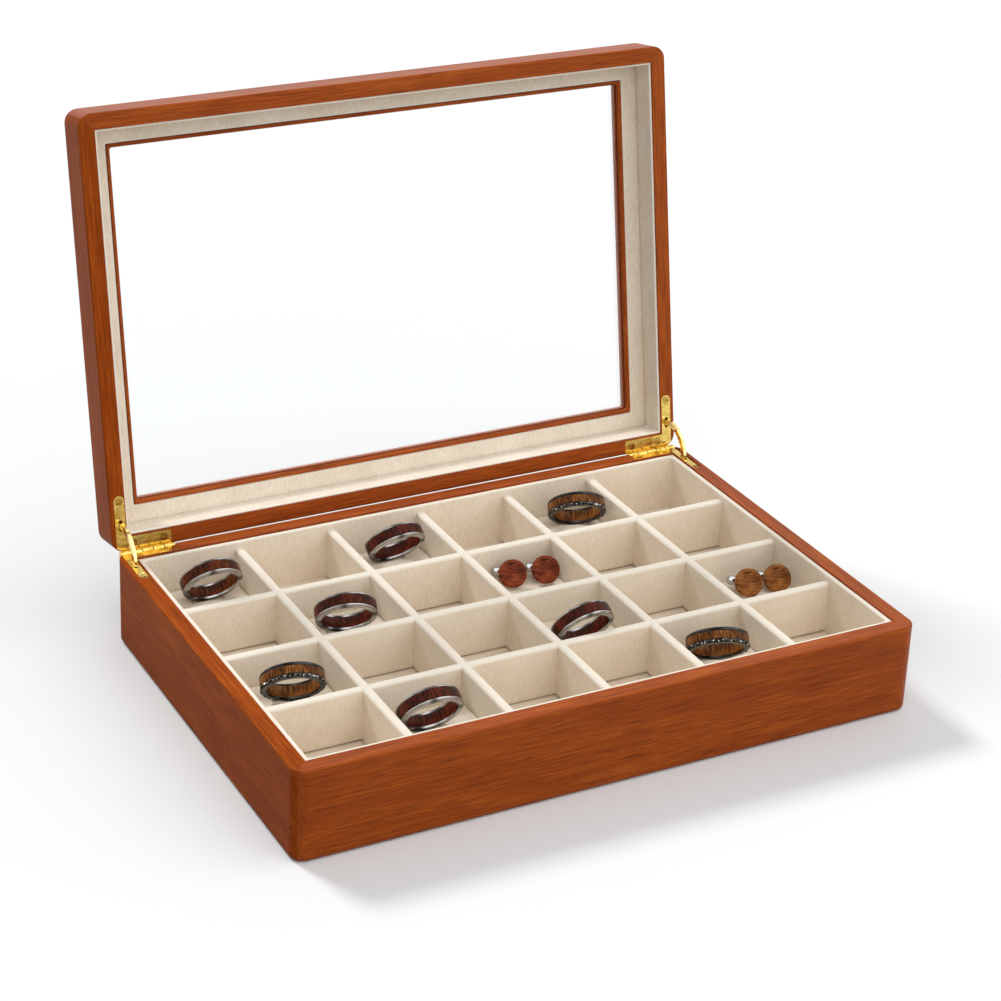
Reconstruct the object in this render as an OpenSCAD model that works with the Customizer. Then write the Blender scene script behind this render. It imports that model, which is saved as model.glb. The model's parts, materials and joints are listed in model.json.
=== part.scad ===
// Ring display box: a shallow hardwood case with a lined grid of compartments and a glazed lid.
// The lid turns on two quadrant hinges, whose curved stays stop it a little past upright.
// Millimetres. X to the right, Y to the back, Z up, origin at the centre of the case's underside.
// The model is drawn with the lid open against its stays, and rings and studs on show.

/* [Case] */
// Outside width of the case, left to right
case_width = 240; // [225:1:280]
// Outside depth of the case, front to back
case_depth = 162; // [150:1:200]
// Height of the base
base_height = 34.5; // [32:0.5:45]
// Height of the closed lid
lid_height = 16.5; // [15:0.5:24]
// Thickness of the wooden rails
rail_thickness = 6; // [5.6:0.1:9]
// Radius of the case's upright corners
corner_radius = 5; // [3:0.1:5.4]
// Rounding of the outer edges at the foot of the base and the top of the lid
outer_rounding = 2; // [0.5:0.1:3]
// Rounding of the outer edges where the lid meets the base
meeting_rounding = 0.7; // [0.2:0.1:1]
// Gap between the rims of the closed lid and the base
meeting_gap = 0.3; // [0.2:0.05:0.6]

/* [Base] */
// Thickness of the bottom panel
bottom_thickness = 4; // [3:0.1:5]
// How far the bottom panel goes into the rails
bottom_rabbet = 3; // [2:0.1:4]
// Gap round the edge of the bottom panel
bottom_fit = 0.1; // [0.05:0.05:0.3]
// Thickness of the felt under the bottom panel
felt_thickness = 1; // [0.5:0.1:1.5]
// How far the felt's edge stays inside the rails
felt_inset = 0.5; // [0.2:0.1:1]
// Thickness of the padded floor
floor_pad_thickness = 7.3; // [5:0.1:9]
// Thickness of the lining boards against the rails
lining_thickness = 2; // [1.5:0.1:3]
// How far the lining boards stop below the rim
lining_drop = 0.5; // [0.3:0.1:3]

/* [Compartments] */
// Number of compartments from left to right
columns = 6; // [6]
// Number of compartments from front to back
rows = 4; // [4]
// Thickness of the padded dividers
divider_thickness = 3.4; // [2.5:0.1:4]
// How far the dividers stop below the rim
divider_drop = 3; // [2:0.1:5]
// Gap at each end of a divider and in each half-lap joint
divider_fit = 0.1; // [0.05:0.01:0.2]
// Thickness of the display pads that stand on the floor
display_pad_thickness = 7.2; // [5:0.1:8]
// Gap round a display pad
display_pad_fit = 0.2; // [0.1:0.05:0.4]
// Least gap between a piece on show and the walls of its compartment
wall_clearance = 0.5; // [0.3:0.1:1]

/* [Lid] */
// Width of the lid frame, from the outer edge to the window
frame_width = 15.1; // [13:0.1:20]
// Thickness of the lid frame over the glass
frame_thickness = 2.4; // [2:0.1:4]
// Radius of the window's corners
window_radius = 1; // [0.5:0.1:4]
// Thickness of the glass
glass_thickness = 1.5; // [1.2:0.1:3]
// Gap round the edge of the glass
glass_fit = 0.2; // [0.1:0.05:0.5]
// Thickness of the lined panel that holds the glass
holding_panel_thickness = 1; // [0.8:0.1:2]
// Width of wood that shows between the lined panel and the window
window_bead = 1.6; // [1:0.1:2.5]
// Thickness of the lining strips inside the lid
lid_lining_thickness = 0.9; // [0.6:0.05:1.2]
// Gap at the ends of the lid's side lining strips
lid_lining_fit = 0.1; // [0.05:0.05:0.2]
// How far the lid's lining strips stop short of its rim
lid_lining_drop = 0.6; // [0.3:0.1:3]

/* [Hinges] */
// Angle between the rims when the lid is fully open
open_angle = 100; // [90:1:105]
// Diameter of the hinge barrels
barrel_diameter = 3; // [2.6:0.1:3.2]
// How far the barrel's centre stands behind the case
barrel_offset = 0.5; // [0.4:0.05:0.8]
// How far the top of the barrel lies below the base's rim
barrel_drop = 0.05; // [0.03:0.01:0.2]
// Length of each hinge barrel
barrel_length = 21; // [18:0.5:26]
// Number of knuckles on each barrel
knuckles = 5; // [3:2:7]
// Gap between two knuckles
knuckle_gap = 0.2; // [0.1:0.05:0.4]
// Diameter of the hinge pins
pin_diameter = 1; // [0.8:0.1:1.2]
// Radial clearance between a hinge pin and the lid's knuckles
pin_clearance = 0.05; // [0.02:0.01:0.08]
// Clearance round the barrels in the base
barrel_clearance = 0.3; // [0.2:0.05:0.4]
// Thickness of the hinge leaves
leaf_thickness = 1.2; // [1:0.05:1.3]
// How far the base's hinge leaves lie below its rim
leaf_recess = 0.6; // [0:0.05:0.8]
// Distance from the case's back to the near edge of the leaves
leaf_back_edge = 0.5; // [0.4:0.05:1]
// Distance from the case's back to the far edge of the short arms
short_arm_edge = 5.5; // [4.6:0.1:5.6]
// Width of the long arms, which run forward along the side rails
long_arm_width = 4; // [3.8:0.1:4.2]
// Distance from the case's side to the outer edge of the long arms
long_arm_edge = 1.7; // [1.5:0.05:1.8]
// Length of the long arms, from the hinge axis to their round end
long_arm_length = 22; // [20:0.5:30]
// Distance from the case's side to the outer end of the barrels
barrel_end_edge = 2; // [1.9:0.1:3]

/* [Hinge screws] */
// Diameter of the screw heads
screw_head_diameter = 2.6; // [2:0.1:2.8]
// Depth of the countersunk screw heads
screw_head_depth = 0.8; // [0.5:0.05:0.9]
// Diameter of the screw shanks
screw_shank_diameter = 1.2; // [0.8:0.1:1.4]
// Length of the screws
screw_length = 6; // [4:0.5:8]
// Width of the cross recess
screw_recess_width = 0.3; // [0.2:0.05:0.4]
// Depth of the cross recess
screw_recess_depth = 0.3; // [0.2:0.05:0.4]

/* [Hinge stays] */
// Radius of the stays about the hinge axis
stay_radius = 11; // [10.5:0.1:12.5]
// Width of a stay along its radius
stay_width = 2.2; // [1.8:0.1:2.4]
// Thickness of a stay from side to side
stay_thickness = 1.2; // [0.8:0.1:1.3]
// Diameter of the cross pins at the stay's ends
cross_pin_diameter = 1.6; // [1.2:0.1:1.8]
// Length of the cross pins
cross_pin_length = 2.4; // [2.1:0.1:2.5]
// Width of the slots in the leaves
slot_width = 1.5; // [1.4:0.05:1.7]
// Clearance round a stay and its cross pins in the wood
stay_clearance = 0.3; // [0.2:0.05:0.4]
// Gap between a cross pin and the leaf that stops it
stop_gap = 0.15; // [0.1:0.05:0.3]

/* [Rings] */
// Outside diameter of the rings
ring_diameter = 22.5; // [19:0.1:23.5]
// Width of the rings along the finger
ring_width = 5.6; // [4:0.1:6.5]
// Thickness of the rings
ring_thickness = 2.2; // [1.6:0.1:2.5]
// Width of each metal edge beside the wooden inlay
inlay_edge = 0.95; // [0.8:0.05:1.4]
// Depth of the wooden inlay
inlay_depth = 0.6; // [0.4:0.05:0.7]
// Width of each metal edge beside the wooden sleeve inside the ring
sleeve_edge = 0.7; // [0.4:0.05:1.4]
// Thickness of the wooden sleeve
sleeve_thickness = 0.4; // [0.3:0.05:0.5]
// Height of the bevel at the ring's edges
bevel_height = 0.5; // [0.2:0.05:0.6]
// How far a ring's edge sinks into the slit in its pad
ring_sink = 0.8; // [0.5:0.1:1.2]
// Clearance between a ring's edge and its slit
slit_clearance = 0.3; // [0.2:0.05:0.5]

/* [Studs] */
// Diameter of the wooden stud faces
stud_diameter = 10.6; // [9:0.1:12]
// Thickness of the stud faces
stud_face_thickness = 2.2; // [1.6:0.1:3]
// Rim chamfer of the stud faces
stud_chamfer = 0.4; // [0.2:0.1:0.6]
// Distance from the stud's face to the middle of its bar
stud_reach = 6.5; // [6:0.1:7]
// Diameter of the stud posts
stud_post_diameter = 1.2; // [0.8:0.1:1.6]
// Diameter of the stud bars
stud_bar_diameter = 3.6; // [3:0.1:4]
// Length of the stud bars to the left of the post
stud_bar_left = 6.5; // [4:0.1:7]
// Length of the stud bars to the right of the post
stud_bar_right = 2.5; // [1:0.1:3]
// Roll of the stud bars about the post, left end up
stud_bar_roll = 18; // [0:1:25]
// How far the studs stand clear of their pad
stud_gap = 0.1; // [0.05:0.05:0.3]

/* [Hidden] */
// Rings: column and row (counted from the left and the back), lean, turn and place in the compartment
RINGS = [
  [0, 0, 34.0, -2.1, [1.4, 3.2]],
  [2, 0, 38.6, 2.0, [1.4, 4.3]],
  [4, 0, 42.6, -19.3, [4.1, 2.9]],
  [1, 1, 36.4, -14.9, [-1.1, -1.2]],
  [0, 2, 37.5, -15.8, [-0.6, -1.3]],
  [3, 2, 31.4, 2.5, [-2.7, -6.5]],
  [1, 3, 32.3, -2.7, [-3.5, 0.2]],
  [4, 3, 43.9, -20.5, [-2.3, 0.4]],
];
// Studs: column and row, and the place of the face's centre in the compartment
STUDS = [
  [3, 1, [-3.6, 6.8]],
  [3, 1, [9.2, 4.7]],
  [5, 2, [-1.0, 2.2]],
  [5, 2, [10.7, 0.9]],
];
// The studs face a little to the left of the front
stud_turn = -12;

$fn = 48;
// A cut runs this far past the face that it opens
through = 1;

// Base, from the bottom up
inner_width = case_width - 2 * rail_thickness;
inner_depth = case_depth - 2 * rail_thickness;
panel_top = felt_thickness + bottom_thickness;
floor_top = panel_top + floor_pad_thickness;
display_top = floor_top + display_pad_thickness;
divider_top = base_height - divider_drop;
lining_top = base_height - lining_drop;

// Compartments: the lined space, and how far apart the dividers' centres are
lined_width = inner_width - 2 * lining_thickness;
lined_depth = inner_depth - 2 * lining_thickness;
column_pitch = lined_width / columns;
row_pitch = lined_depth / rows;
lap_height = (floor_top + divider_top) / 2;

// Lid, closed, from its rim up
lid_rim = base_height + meeting_gap;
lid_top = lid_rim + lid_height;
glass_top = lid_top - frame_thickness;
glass_bottom = glass_top - glass_thickness;
holding_bottom = glass_bottom - holding_panel_thickness;
glass_width = inner_width - 2 * glass_fit;
glass_depth = inner_depth - 2 * glass_fit;
window_width = case_width - 2 * frame_width;
window_depth = case_depth - 2 * frame_width;

// Hinges: the axis, and heights above it
barrel_radius = barrel_diameter / 2;
pin_radius = pin_diameter / 2;
axis_y = case_depth / 2 + barrel_offset;
axis_z = base_height - barrel_drop - barrel_radius;
base_rim = base_height - axis_z;
base_leaf_top = base_rim - leaf_recess;
base_leaf_bottom = base_leaf_top - leaf_thickness;
lid_leaf_bottom = lid_rim - axis_z;
lid_leaf_top = lid_leaf_bottom + leaf_thickness;

// Hinge leaves: distances forward from the axis, and sideways from the middle of the case
base_leaf_near = barrel_radius + barrel_clearance;
lid_leaf_near = leaf_back_edge + barrel_offset;
leaf_far = short_arm_edge + barrel_offset;
leaf_end_radius = 1;
leaf_margin = 0.4;
arm_outer = case_width / 2 - long_arm_edge;
arm_middle = arm_outer - long_arm_width / 2;
barrel_outer = case_width / 2 - barrel_end_edge;
barrel_inner = barrel_outer - barrel_length;
knuckle_length = (barrel_length - (knuckles - 1) * knuckle_gap) / knuckles;
knuckle_pitch = knuckle_length + knuckle_gap;
// Webs and round ends stop this far inside the round that they join
web_inset = 0.05;

// Screws: two in the short arm and one at the end of the long arm
short_screw_inset = 3;
short_screw_pitch = 12;
arm_screw = long_arm_length - long_arm_width / 2;

// Stays: angles about the hinge axis, from level and forward up
cross_pin_radius = cross_pin_diameter / 2;
stay_inner = stay_radius - stay_width / 2;
stay_outer = stay_radius + stay_width / 2;
stay_low = asin((base_leaf_bottom - stop_gap - cross_pin_radius) / stay_radius);
stay_high = asin((lid_leaf_top + stop_gap + cross_pin_radius) / stay_radius);
stay_sweep = open_angle + stay_high - stay_low;
stay_travel = open_angle / 2;
stay_end_angle = asin((stay_width / 2 + stay_clearance) / stay_radius);
slot_end_fit = 0.1;
slot_near = sqrt(pow(stay_inner, 2) - pow(lid_leaf_top, 2)) - slot_end_fit;
slot_far = stay_outer + slot_end_fit;

// Rings
ring_radius = ring_diameter / 2;
ring_bore = ring_radius - ring_thickness;
inlay_half = ring_width / 2 - inlay_edge;
sleeve_half = ring_width / 2 - sleeve_edge;

// Studs: the tilt at which the face's edge and the bar's low end both reach the pad
stud_radius = stud_diameter / 2;
stud_bar_radius = stud_bar_diameter / 2;
stud_arm = stud_reach - stud_face_thickness;
stud_bar_rest = stud_bar_radius * cos(stud_bar_roll) + stud_bar_right * sin(stud_bar_roll);
stud_tilt = acos(stud_bar_rest / norm([stud_radius, stud_arm])) - atan2(stud_arm, stud_radius);
stud_side_reach = max(stud_radius, stud_bar_left);
stud_front_reach = stud_radius * (sin(stud_tilt) + abs(sin(stud_turn)));
stud_back_reach = stud_reach * cos(stud_tilt) + stud_bar_left * abs(sin(stud_turn)) + stud_bar_radius;

// Middle of each divider, and of the lining where i or j is at an end
function column_edge(i) = -lined_width / 2 + i * column_pitch;
function row_edge(j) = lined_depth / 2 - j * row_pitch;
function inset_at(i, last) = i == 0 || i == last ? 0 : divider_thickness / 2;
// A compartment's middle, and its front left and back right inner corners
function cell_centre(c) = [column_edge(c[0] + 0.5), row_edge(c[1] + 0.5)];
function cell_low(c) = [
  column_edge(c[0]) + inset_at(c[0], columns), row_edge(c[1] + 1) + inset_at(c[1] + 1, rows)
];
function cell_high(c) = [
  column_edge(c[0] + 1) - inset_at(c[0] + 1, columns), row_edge(c[1]) - inset_at(c[1], rows)
];
// A piece's place in its compartment, kept clear of the walls by what it reaches each way
function kept(want, low, high) = low > high ? (low + high) / 2 : min(max(want, low), high);
function placed(c, offset, reach_low, reach_high) = [for (k = [0, 1]) kept(
  cell_centre(c)[k] + offset[k],
  cell_low(c)[k] + reach_low[k] + wall_clearance,
  cell_high(c)[k] - reach_high[k] - wall_clearance
)];
// Height of a leaning ring's centre over its lowest point
function ring_drop(lean) = max(
  (ring_radius - bevel_height) * cos(lean) + ring_width / 2 * sin(lean),
  ring_radius * cos(lean) + (ring_width / 2 - bevel_height) * sin(lean)
);

function ring_reach(lean, turn) = [
  norm([ring_radius * cos(turn), ring_radius * sin(lean) * sin(turn)])
    + ring_width / 2 * cos(lean) * abs(sin(turn)),
  norm([ring_radius * sin(turn), ring_radius * sin(lean) * cos(turn)])
    + ring_width / 2 * cos(lean) * cos(turn)
];
function ring_place(r) = placed(r, r[4], ring_reach(r[2], r[3]), ring_reach(r[2], r[3]));
function stud_place(s) = placed(s, s[2], [stud_side_reach, stud_front_reach], [stud_radius, stud_back_reach]);

module both_sides() {
  children();
  mirror([1, 0, 0]) children();
}

// One side of the case: 0 front, 1 right, 2 back, 3 left, drawn as if it were the front
module on_side(side) {
  rotate([0, 0, 90 * side])
    translate([0, -(side % 2 == 0 ? case_depth : case_width) / 2, 0]) children();
}
function side_length(side) = side % 2 == 0 ? case_width : case_depth;

// Hinge axis frame: X to the right, Y forward from the axis, Z up
module hinge_frame() {
  translate([0, axis_y, axis_z]) mirror([0, 1, 0]) children();
}

// Things drawn for the closed lid, turned to the open lid's place
module opened() {
  translate([0, axis_y, axis_z]) rotate([-open_angle, 0, 0]) translate([0, -axis_y, -axis_z]) children();
}

module centred_box(size, bottom) {
  translate([-size[0] / 2, -size[1] / 2, bottom]) cube(size);
}

module rounded_rectangle(width, depth, radius) {
  square([width - 2 * radius, depth], center = true);
  square([width, depth - 2 * radius], center = true);
  for (x = [-1, 1], y = [-1, 1]) {
    translate([x * (width / 2 - radius), y * (depth / 2 - radius)]) circle(radius);
  }
}

// Section of a rail: outer face at the left, with its foot and head rounded
module rail_section(width, height, foot, head) {
  translate([0, foot]) square([width, height - foot - head]);
  translate([foot, 0]) square([width - foot, foot]);
  translate([head, height - head]) square([width - head, head]);
  translate([foot, foot]) circle(foot);
  translate([head, height - head]) circle(head);
}

module mitre_plan(length, width) {
  polygon([[-length / 2, 0], [length / 2, 0], [length / 2 - width, width], [-length / 2 + width, width]]);
}

// Rail along X with its outer face at Y = 0, mitred at both ends, with half of each round corner
module rail(length, height, foot, head) {
  intersection() {
    union() {
      translate([-length / 2 + corner_radius, 0, 0])
        rotate([90, 0, 90])
          linear_extrude(length - 2 * corner_radius) rail_section(rail_thickness, height, foot, head);
      for (end = [-1, 1]) {
        translate([end * (length / 2 - corner_radius), corner_radius, 0])
          rotate_extrude()
            translate([corner_radius, 0]) mirror([1, 0]) rail_section(corner_radius, height, foot, head);
      }
    }
    linear_extrude(height) mitre_plan(length, rail_thickness);
  }
}

// ---- Hinge shapes, drawn for the right-hand hinge in the hinge frame ----

module leaf_plan(near) {
  intersection() {
    difference() {
      union() {
        translate([arm_outer - long_arm_width, near]) square([long_arm_width, arm_screw - near]);
        translate([arm_middle, arm_screw]) circle(long_arm_width / 2);
        translate([barrel_inner + leaf_end_radius, near])
          square([arm_outer - barrel_inner - leaf_end_radius, leaf_far - near]);
        translate([barrel_inner, near]) square([leaf_end_radius, leaf_far - near - leaf_end_radius]);
        translate([barrel_inner + leaf_end_radius, leaf_far - leaf_end_radius]) circle(leaf_end_radius);
      }
      slot_plan();
    }
    translate([0, axis_y])
      rounded_rectangle(case_width - 2 * leaf_margin, case_depth - 2 * leaf_margin, corner_radius - leaf_margin);
  }
}

module slot_plan() {
  translate([arm_middle - slot_width / 2, slot_near]) square([slot_width, slot_far - slot_near]);
  for (end = [slot_near, slot_far]) {
    translate([arm_middle, end]) circle(slot_width / 2);
  }
}

// The base's leaf has the outermost knuckle, and they take turns from there
module knuckle_spans(first) {
  for (k = [first:2:knuckles - 1]) {
    translate([barrel_outer - k * knuckle_pitch - knuckle_length, 0, 0]) children();
  }
}

module along_x() {
  rotate([90, 0, 90]) children();
}

module base_webs() {
  knuckle_spans(0) translate([0, 0, base_leaf_bottom]) cube([knuckle_length, leaf_far / 2, leaf_thickness]);
}

module lid_webs() {
  web_back = barrel_radius - web_inset;
  knuckle_spans(1) {
    translate([0, -web_back, 0]) cube([knuckle_length, web_back, lid_leaf_top]);
    translate([0, -web_back, lid_leaf_bottom]) cube([knuckle_length, web_back + leaf_far / 2, leaf_thickness]);
  }
}

module barrel_bore(radius) {
  translate([barrel_inner - through, 0, 0]) along_x() cylinder(r = radius, h = barrel_length + 2 * through);
}

module screw_places(near) {
  middle = (near + leaf_far) / 2;
  for (p = [
    [barrel_inner + short_screw_inset, middle],
    [barrel_inner + short_screw_inset + short_screw_pitch, middle],
    [arm_middle, arm_screw],
  ]) {
    translate([p[0], p[1], 0]) children();
  }
}

// Countersunk screw pointing down, with the top of its head at the origin
module screw_body() {
  head = screw_head_diameter / 2;
  shank = screw_shank_diameter / 2;
  point = screw_shank_diameter;
  rotate_extrude() polygon([
    [0, 0], [head, 0], [shank, -screw_head_depth], [shank, point - screw_length], [0, -screw_length],
  ]);
}

module screw() {
  recess = screw_head_diameter * 0.6;
  difference() {
    screw_body();
    for (turn = [45, 135]) {
      rotate([0, 0, turn])
        translate([-recess / 2, -screw_recess_width / 2, -screw_recess_depth])
          cube([recess, screw_recess_width, screw_recess_depth + through]);
    }
  }
}

module base_leaf() {
  difference() {
    union() {
      translate([0, 0, base_leaf_bottom]) linear_extrude(leaf_thickness) leaf_plan(base_leaf_near);
      base_webs();
      knuckle_spans(0) along_x() cylinder(r = barrel_radius, h = knuckle_length);
    }
    barrel_bore(pin_radius);
    screw_places(base_leaf_near) translate([0, 0, base_leaf_top]) screw_body();
  }
}

module lid_leaf() {
  difference() {
    union() {
      translate([0, 0, lid_leaf_bottom]) linear_extrude(leaf_thickness) leaf_plan(lid_leaf_near);
      lid_webs();
      knuckle_spans(1) along_x() cylinder(r = barrel_radius, h = knuckle_length);
    }
    barrel_bore(pin_radius + pin_clearance);
    screw_places(lid_leaf_near) translate([0, 0, lid_leaf_bottom]) mirror([0, 0, 1]) screw_body();
  }
}

// Ring sector about the hinge axis, centred on the long arms
module arc_about_axis(inner, outer, thickness, start, sweep) {
  translate([arm_middle, 0, 0])
    along_x() rotate([0, 0, start]) rotate_extrude(angle = sweep)
      translate([inner, -thickness / 2]) square([outer - inner, thickness]);
}

module stay() {
  arc_about_axis(stay_inner, stay_outer, stay_thickness, stay_low, stay_sweep);
  for (angle = [stay_low, stay_low + stay_sweep]) {
    translate([arm_middle, 0, 0]) along_x() rotate([0, 0, angle]) translate([stay_radius, 0, 0]) {
      cylinder(r = stay_width / 2 - web_inset, h = stay_thickness, center = true);
      cylinder(r = cross_pin_radius, h = cross_pin_length, center = true);
    }
  }
}

module stay_pocket(start, end) {
  arc_about_axis(
    stay_inner - stay_clearance, stay_outer + stay_clearance, cross_pin_length + 2 * stay_clearance,
    start, end - start
  );
}

// What the hinges need cut out of the base's rails
module base_hinge_cuts() {
  past_rim = 40;
  both_sides() hinge_frame() {
    translate([0, 0, base_leaf_bottom]) linear_extrude(base_rim - base_leaf_bottom + through) union() {
      leaf_plan(base_leaf_near);
      slot_plan();
    }
    base_webs();
    translate([barrel_inner - knuckle_gap, 0, 0]) {
      along_x() cylinder(r = base_leaf_near, h = case_width);
      cube([case_width, base_leaf_near, base_rim + through]);
    }
    stay_pocket(stay_low - stay_travel - stay_end_angle, past_rim);
    screw_places(base_leaf_near) translate([0, 0, base_leaf_top]) screw_body();
  }
}

// What the hinges need cut out of the lid's rails
module lid_hinge_cuts() {
  before_rim = -20;
  both_sides() hinge_frame() {
    translate([0, 0, lid_leaf_bottom - through]) linear_extrude(leaf_thickness + through) union() {
      leaf_plan(lid_leaf_near);
      slot_plan();
    }
    lid_webs();
    stay_pocket(before_rim, stay_high + stay_travel + stay_end_angle);
    screw_places(lid_leaf_near) translate([0, 0, lid_leaf_bottom]) mirror([0, 0, 1]) screw_body();
  }
}

// ---- Base ----

module base_rail(side) {
  color("saddlebrown") difference() {
    on_side(side) rail(side_length(side), base_height, outer_rounding, meeting_rounding);
    centred_box(
      [inner_width + 2 * bottom_rabbet, inner_depth + 2 * bottom_rabbet, panel_top + through], -through
    );
    if (side != 0) base_hinge_cuts();
  }
}

module base_bottom_panel() {
  reach = 2 * (bottom_rabbet - bottom_fit);
  color("peru") centred_box([inner_width + reach, inner_depth + reach, bottom_thickness], felt_thickness);
}

module base_felt() {
  reach = 2 * (bottom_rabbet - felt_inset);
  color("dimgray") centred_box([inner_width + reach, inner_depth + reach, felt_thickness], 0);
}

module floor_pad() {
  color("tan") centred_box([lined_width, lined_depth, floor_pad_thickness], panel_top);
}

// Board standing along X on z = bottom, with a round top edge
module round_topped_board(length, thickness, bottom, top) {
  translate([-length / 2, -thickness / 2, bottom]) cube([length, thickness, top - bottom - thickness / 2]);
  translate([-length / 2, 0, top - thickness / 2]) along_x() cylinder(d = thickness, h = length);
}

module lining(side) {
  length = side % 2 == 0 ? inner_width : lined_depth;
  color("wheat") on_side(side)
    translate([0, rail_thickness + lining_thickness / 2, 0])
      round_topped_board(length, lining_thickness, panel_top, lining_top);
}

module column_divider(i) {
  color("antiquewhite") difference() {
    translate([column_edge(i), 0, 0]) rotate([0, 0, 90])
      round_topped_board(lined_depth - 2 * divider_fit, divider_thickness, floor_top, divider_top);
    for (j = [1:rows - 1]) {
      translate([column_edge(i), row_edge(j), 0])
        centred_box(
          [divider_thickness + through, divider_thickness + 2 * divider_fit, lap_height - floor_top + through],
          floor_top - through
        );
    }
  }
}

module row_divider(j) {
  color("antiquewhite") difference() {
    translate([0, row_edge(j), 0])
      round_topped_board(lined_width - 2 * divider_fit, divider_thickness, floor_top, divider_top);
    for (i = [1:columns - 1]) {
      translate([column_edge(i), row_edge(j), 0])
        centred_box(
          [divider_thickness + 2 * divider_fit, divider_thickness + through, divider_top - lap_height + through],
          lap_height - divider_fit
        );
    }
  }
}

module display_pad(c) {
  low = cell_low(c);
  size = cell_high(c) - low - [2, 2] * display_pad_fit;
  translate([low[0] + display_pad_fit, low[1] + display_pad_fit, floor_top])
    cube([size[0], size[1], display_pad_thickness]);
}

// Slit that takes the lowest edge of a leaning ring
module ring_slit(r) {
  lean = r[2];
  depth = ring_sink + slit_clearance;
  half_length = sqrt(2 * ring_radius * depth / cos(lean)) + slit_clearance;
  ahead = depth * tan(lean) + slit_clearance;
  behind = depth / tan(lean) + slit_clearance;
  edge = ring_radius * sin(lean) - ring_width / 2 * cos(lean);
  place = ring_place(r);
  translate([place[0], place[1], display_top - depth]) rotate([0, 0, r[3]])
    translate([-half_length, edge - ahead, 0]) cube([2 * half_length, ahead + behind, depth + through]);
}

module display_pads() {
  color("tan") {
    for (r = RINGS) {
      difference() {
        display_pad(r);
        ring_slit(r);
      }
    }
    display_pad(STUDS[0]);
    display_pad(STUDS[2]);
  }
}

module hinge_base_leaf_right() {
  color("gold") hinge_frame() base_leaf();
}

module hinge_base_leaf_left() {
  color("gold") mirror([1, 0, 0]) hinge_frame() base_leaf();
}

module hinge_pins() {
  color("goldenrod") both_sides() hinge_frame()
    translate([barrel_inner, 0, 0]) along_x() cylinder(r = pin_radius, h = barrel_length);
}

module base_hinge_screws() {
  color("darkgoldenrod") both_sides() hinge_frame()
    screw_places(base_leaf_near) translate([0, 0, base_leaf_top]) screw();
}

// ---- Lid ----

module window_frame_plan() {
  difference() {
    square([inner_width + through, inner_depth + through], center = true);
    rounded_rectangle(window_width, window_depth, window_radius);
  }
}

module lid_rail(side) {
  color("sienna") opened() difference() {
    union() {
      translate([0, 0, lid_rim]) on_side(side)
        rail(side_length(side), lid_height, meeting_rounding, outer_rounding);
      intersection() {
        translate([0, 0, glass_top]) linear_extrude(frame_thickness) window_frame_plan();
        translate([0, 0, lid_rim]) on_side(side)
          linear_extrude(lid_height) mitre_plan(side_length(side), frame_width + window_radius);
      }
    }
    if (side != 0) lid_hinge_cuts();
  }
}

module lid_glass() {
  color("lightcyan", 0.35) opened() centred_box([glass_width, glass_depth, glass_thickness], glass_bottom);
}

module lid_lining_panel() {
  bead = 2 * window_bead;
  color("wheat") opened() translate([0, 0, holding_bottom]) linear_extrude(holding_panel_thickness)
    difference() {
      square([glass_width, glass_depth], center = true);
      rounded_rectangle(window_width + bead, window_depth + bead, window_radius);
    }
}

module lid_lining_walls() {
  bottom = lid_rim + lid_lining_drop;
  height = holding_bottom - bottom;
  color("wheat") opened() for (side = [0:3]) {
    length = side % 2 == 0 ? inner_width : inner_depth - 2 * (lid_lining_thickness + lid_lining_fit);
    on_side(side) translate([-length / 2, rail_thickness, bottom]) cube([length, lid_lining_thickness, height]);
  }
}

module hinge_lid_leaf_right() {
  color("gold") opened() hinge_frame() lid_leaf();
}

module hinge_lid_leaf_left() {
  color("gold") opened() mirror([1, 0, 0]) hinge_frame() lid_leaf();
}

module lid_hinge_screws() {
  color("darkgoldenrod") opened() both_sides() hinge_frame()
    screw_places(lid_leaf_near) translate([0, 0, lid_leaf_bottom]) mirror([0, 0, 1]) screw();
}

module stay_right() {
  color("gold") hinge_frame() stay();
}

module stay_left() {
  color("gold") mirror([1, 0, 0]) hinge_frame() stay();
}

// ---- Rings and studs on show ----

module ring_placed(r) {
  place = ring_place(r);
  translate([place[0], place[1], display_top - ring_sink + ring_drop(r[2])])
    rotate([0, 0, r[3]]) rotate([90 + r[2], 0, 0]) children();
}

module ring_band(r) {
  half = ring_width / 2;
  floor_radius = ring_radius - inlay_depth;
  seat_radius = ring_bore + sleeve_thickness;
  color("silver") ring_placed(r) rotate_extrude() polygon([
    [ring_bore, -half], [ring_radius - bevel_height, -half], [ring_radius, bevel_height - half],
    [ring_radius, -inlay_half], [floor_radius, -inlay_half], [floor_radius, inlay_half],
    [ring_radius, inlay_half], [ring_radius, half - bevel_height], [ring_radius - bevel_height, half],
    [ring_bore, half], [ring_bore, sleeve_half], [seat_radius, sleeve_half],
    [seat_radius, -sleeve_half], [ring_bore, -sleeve_half],
  ]);
}

module ring_wood(r) {
  color("brown") ring_placed(r) rotate_extrude() {
    translate([ring_radius - inlay_depth, -inlay_half]) square([inlay_depth, 2 * inlay_half]);
    translate([ring_bore, -sleeve_half]) square([sleeve_thickness, 2 * sleeve_half]);
  }
}

// Stud frame: Z out of the face, with the face's centre at the origin
module stud_placed(s) {
  place = stud_place(s);
  height = stud_face_thickness * sin(stud_tilt) + stud_radius * cos(stud_tilt) + stud_gap;
  translate([place[0], place[1], display_top + height])
    rotate([0, 0, stud_turn]) rotate([90 - stud_tilt, 0, 0]) children();
}

module stud_face(s) {
  color("chocolate") stud_placed(s) rotate_extrude() polygon([
    [0, 0], [stud_radius - stud_chamfer, 0], [stud_radius, -stud_chamfer],
    [stud_radius, -stud_face_thickness], [0, -stud_face_thickness],
  ]);
}

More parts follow.
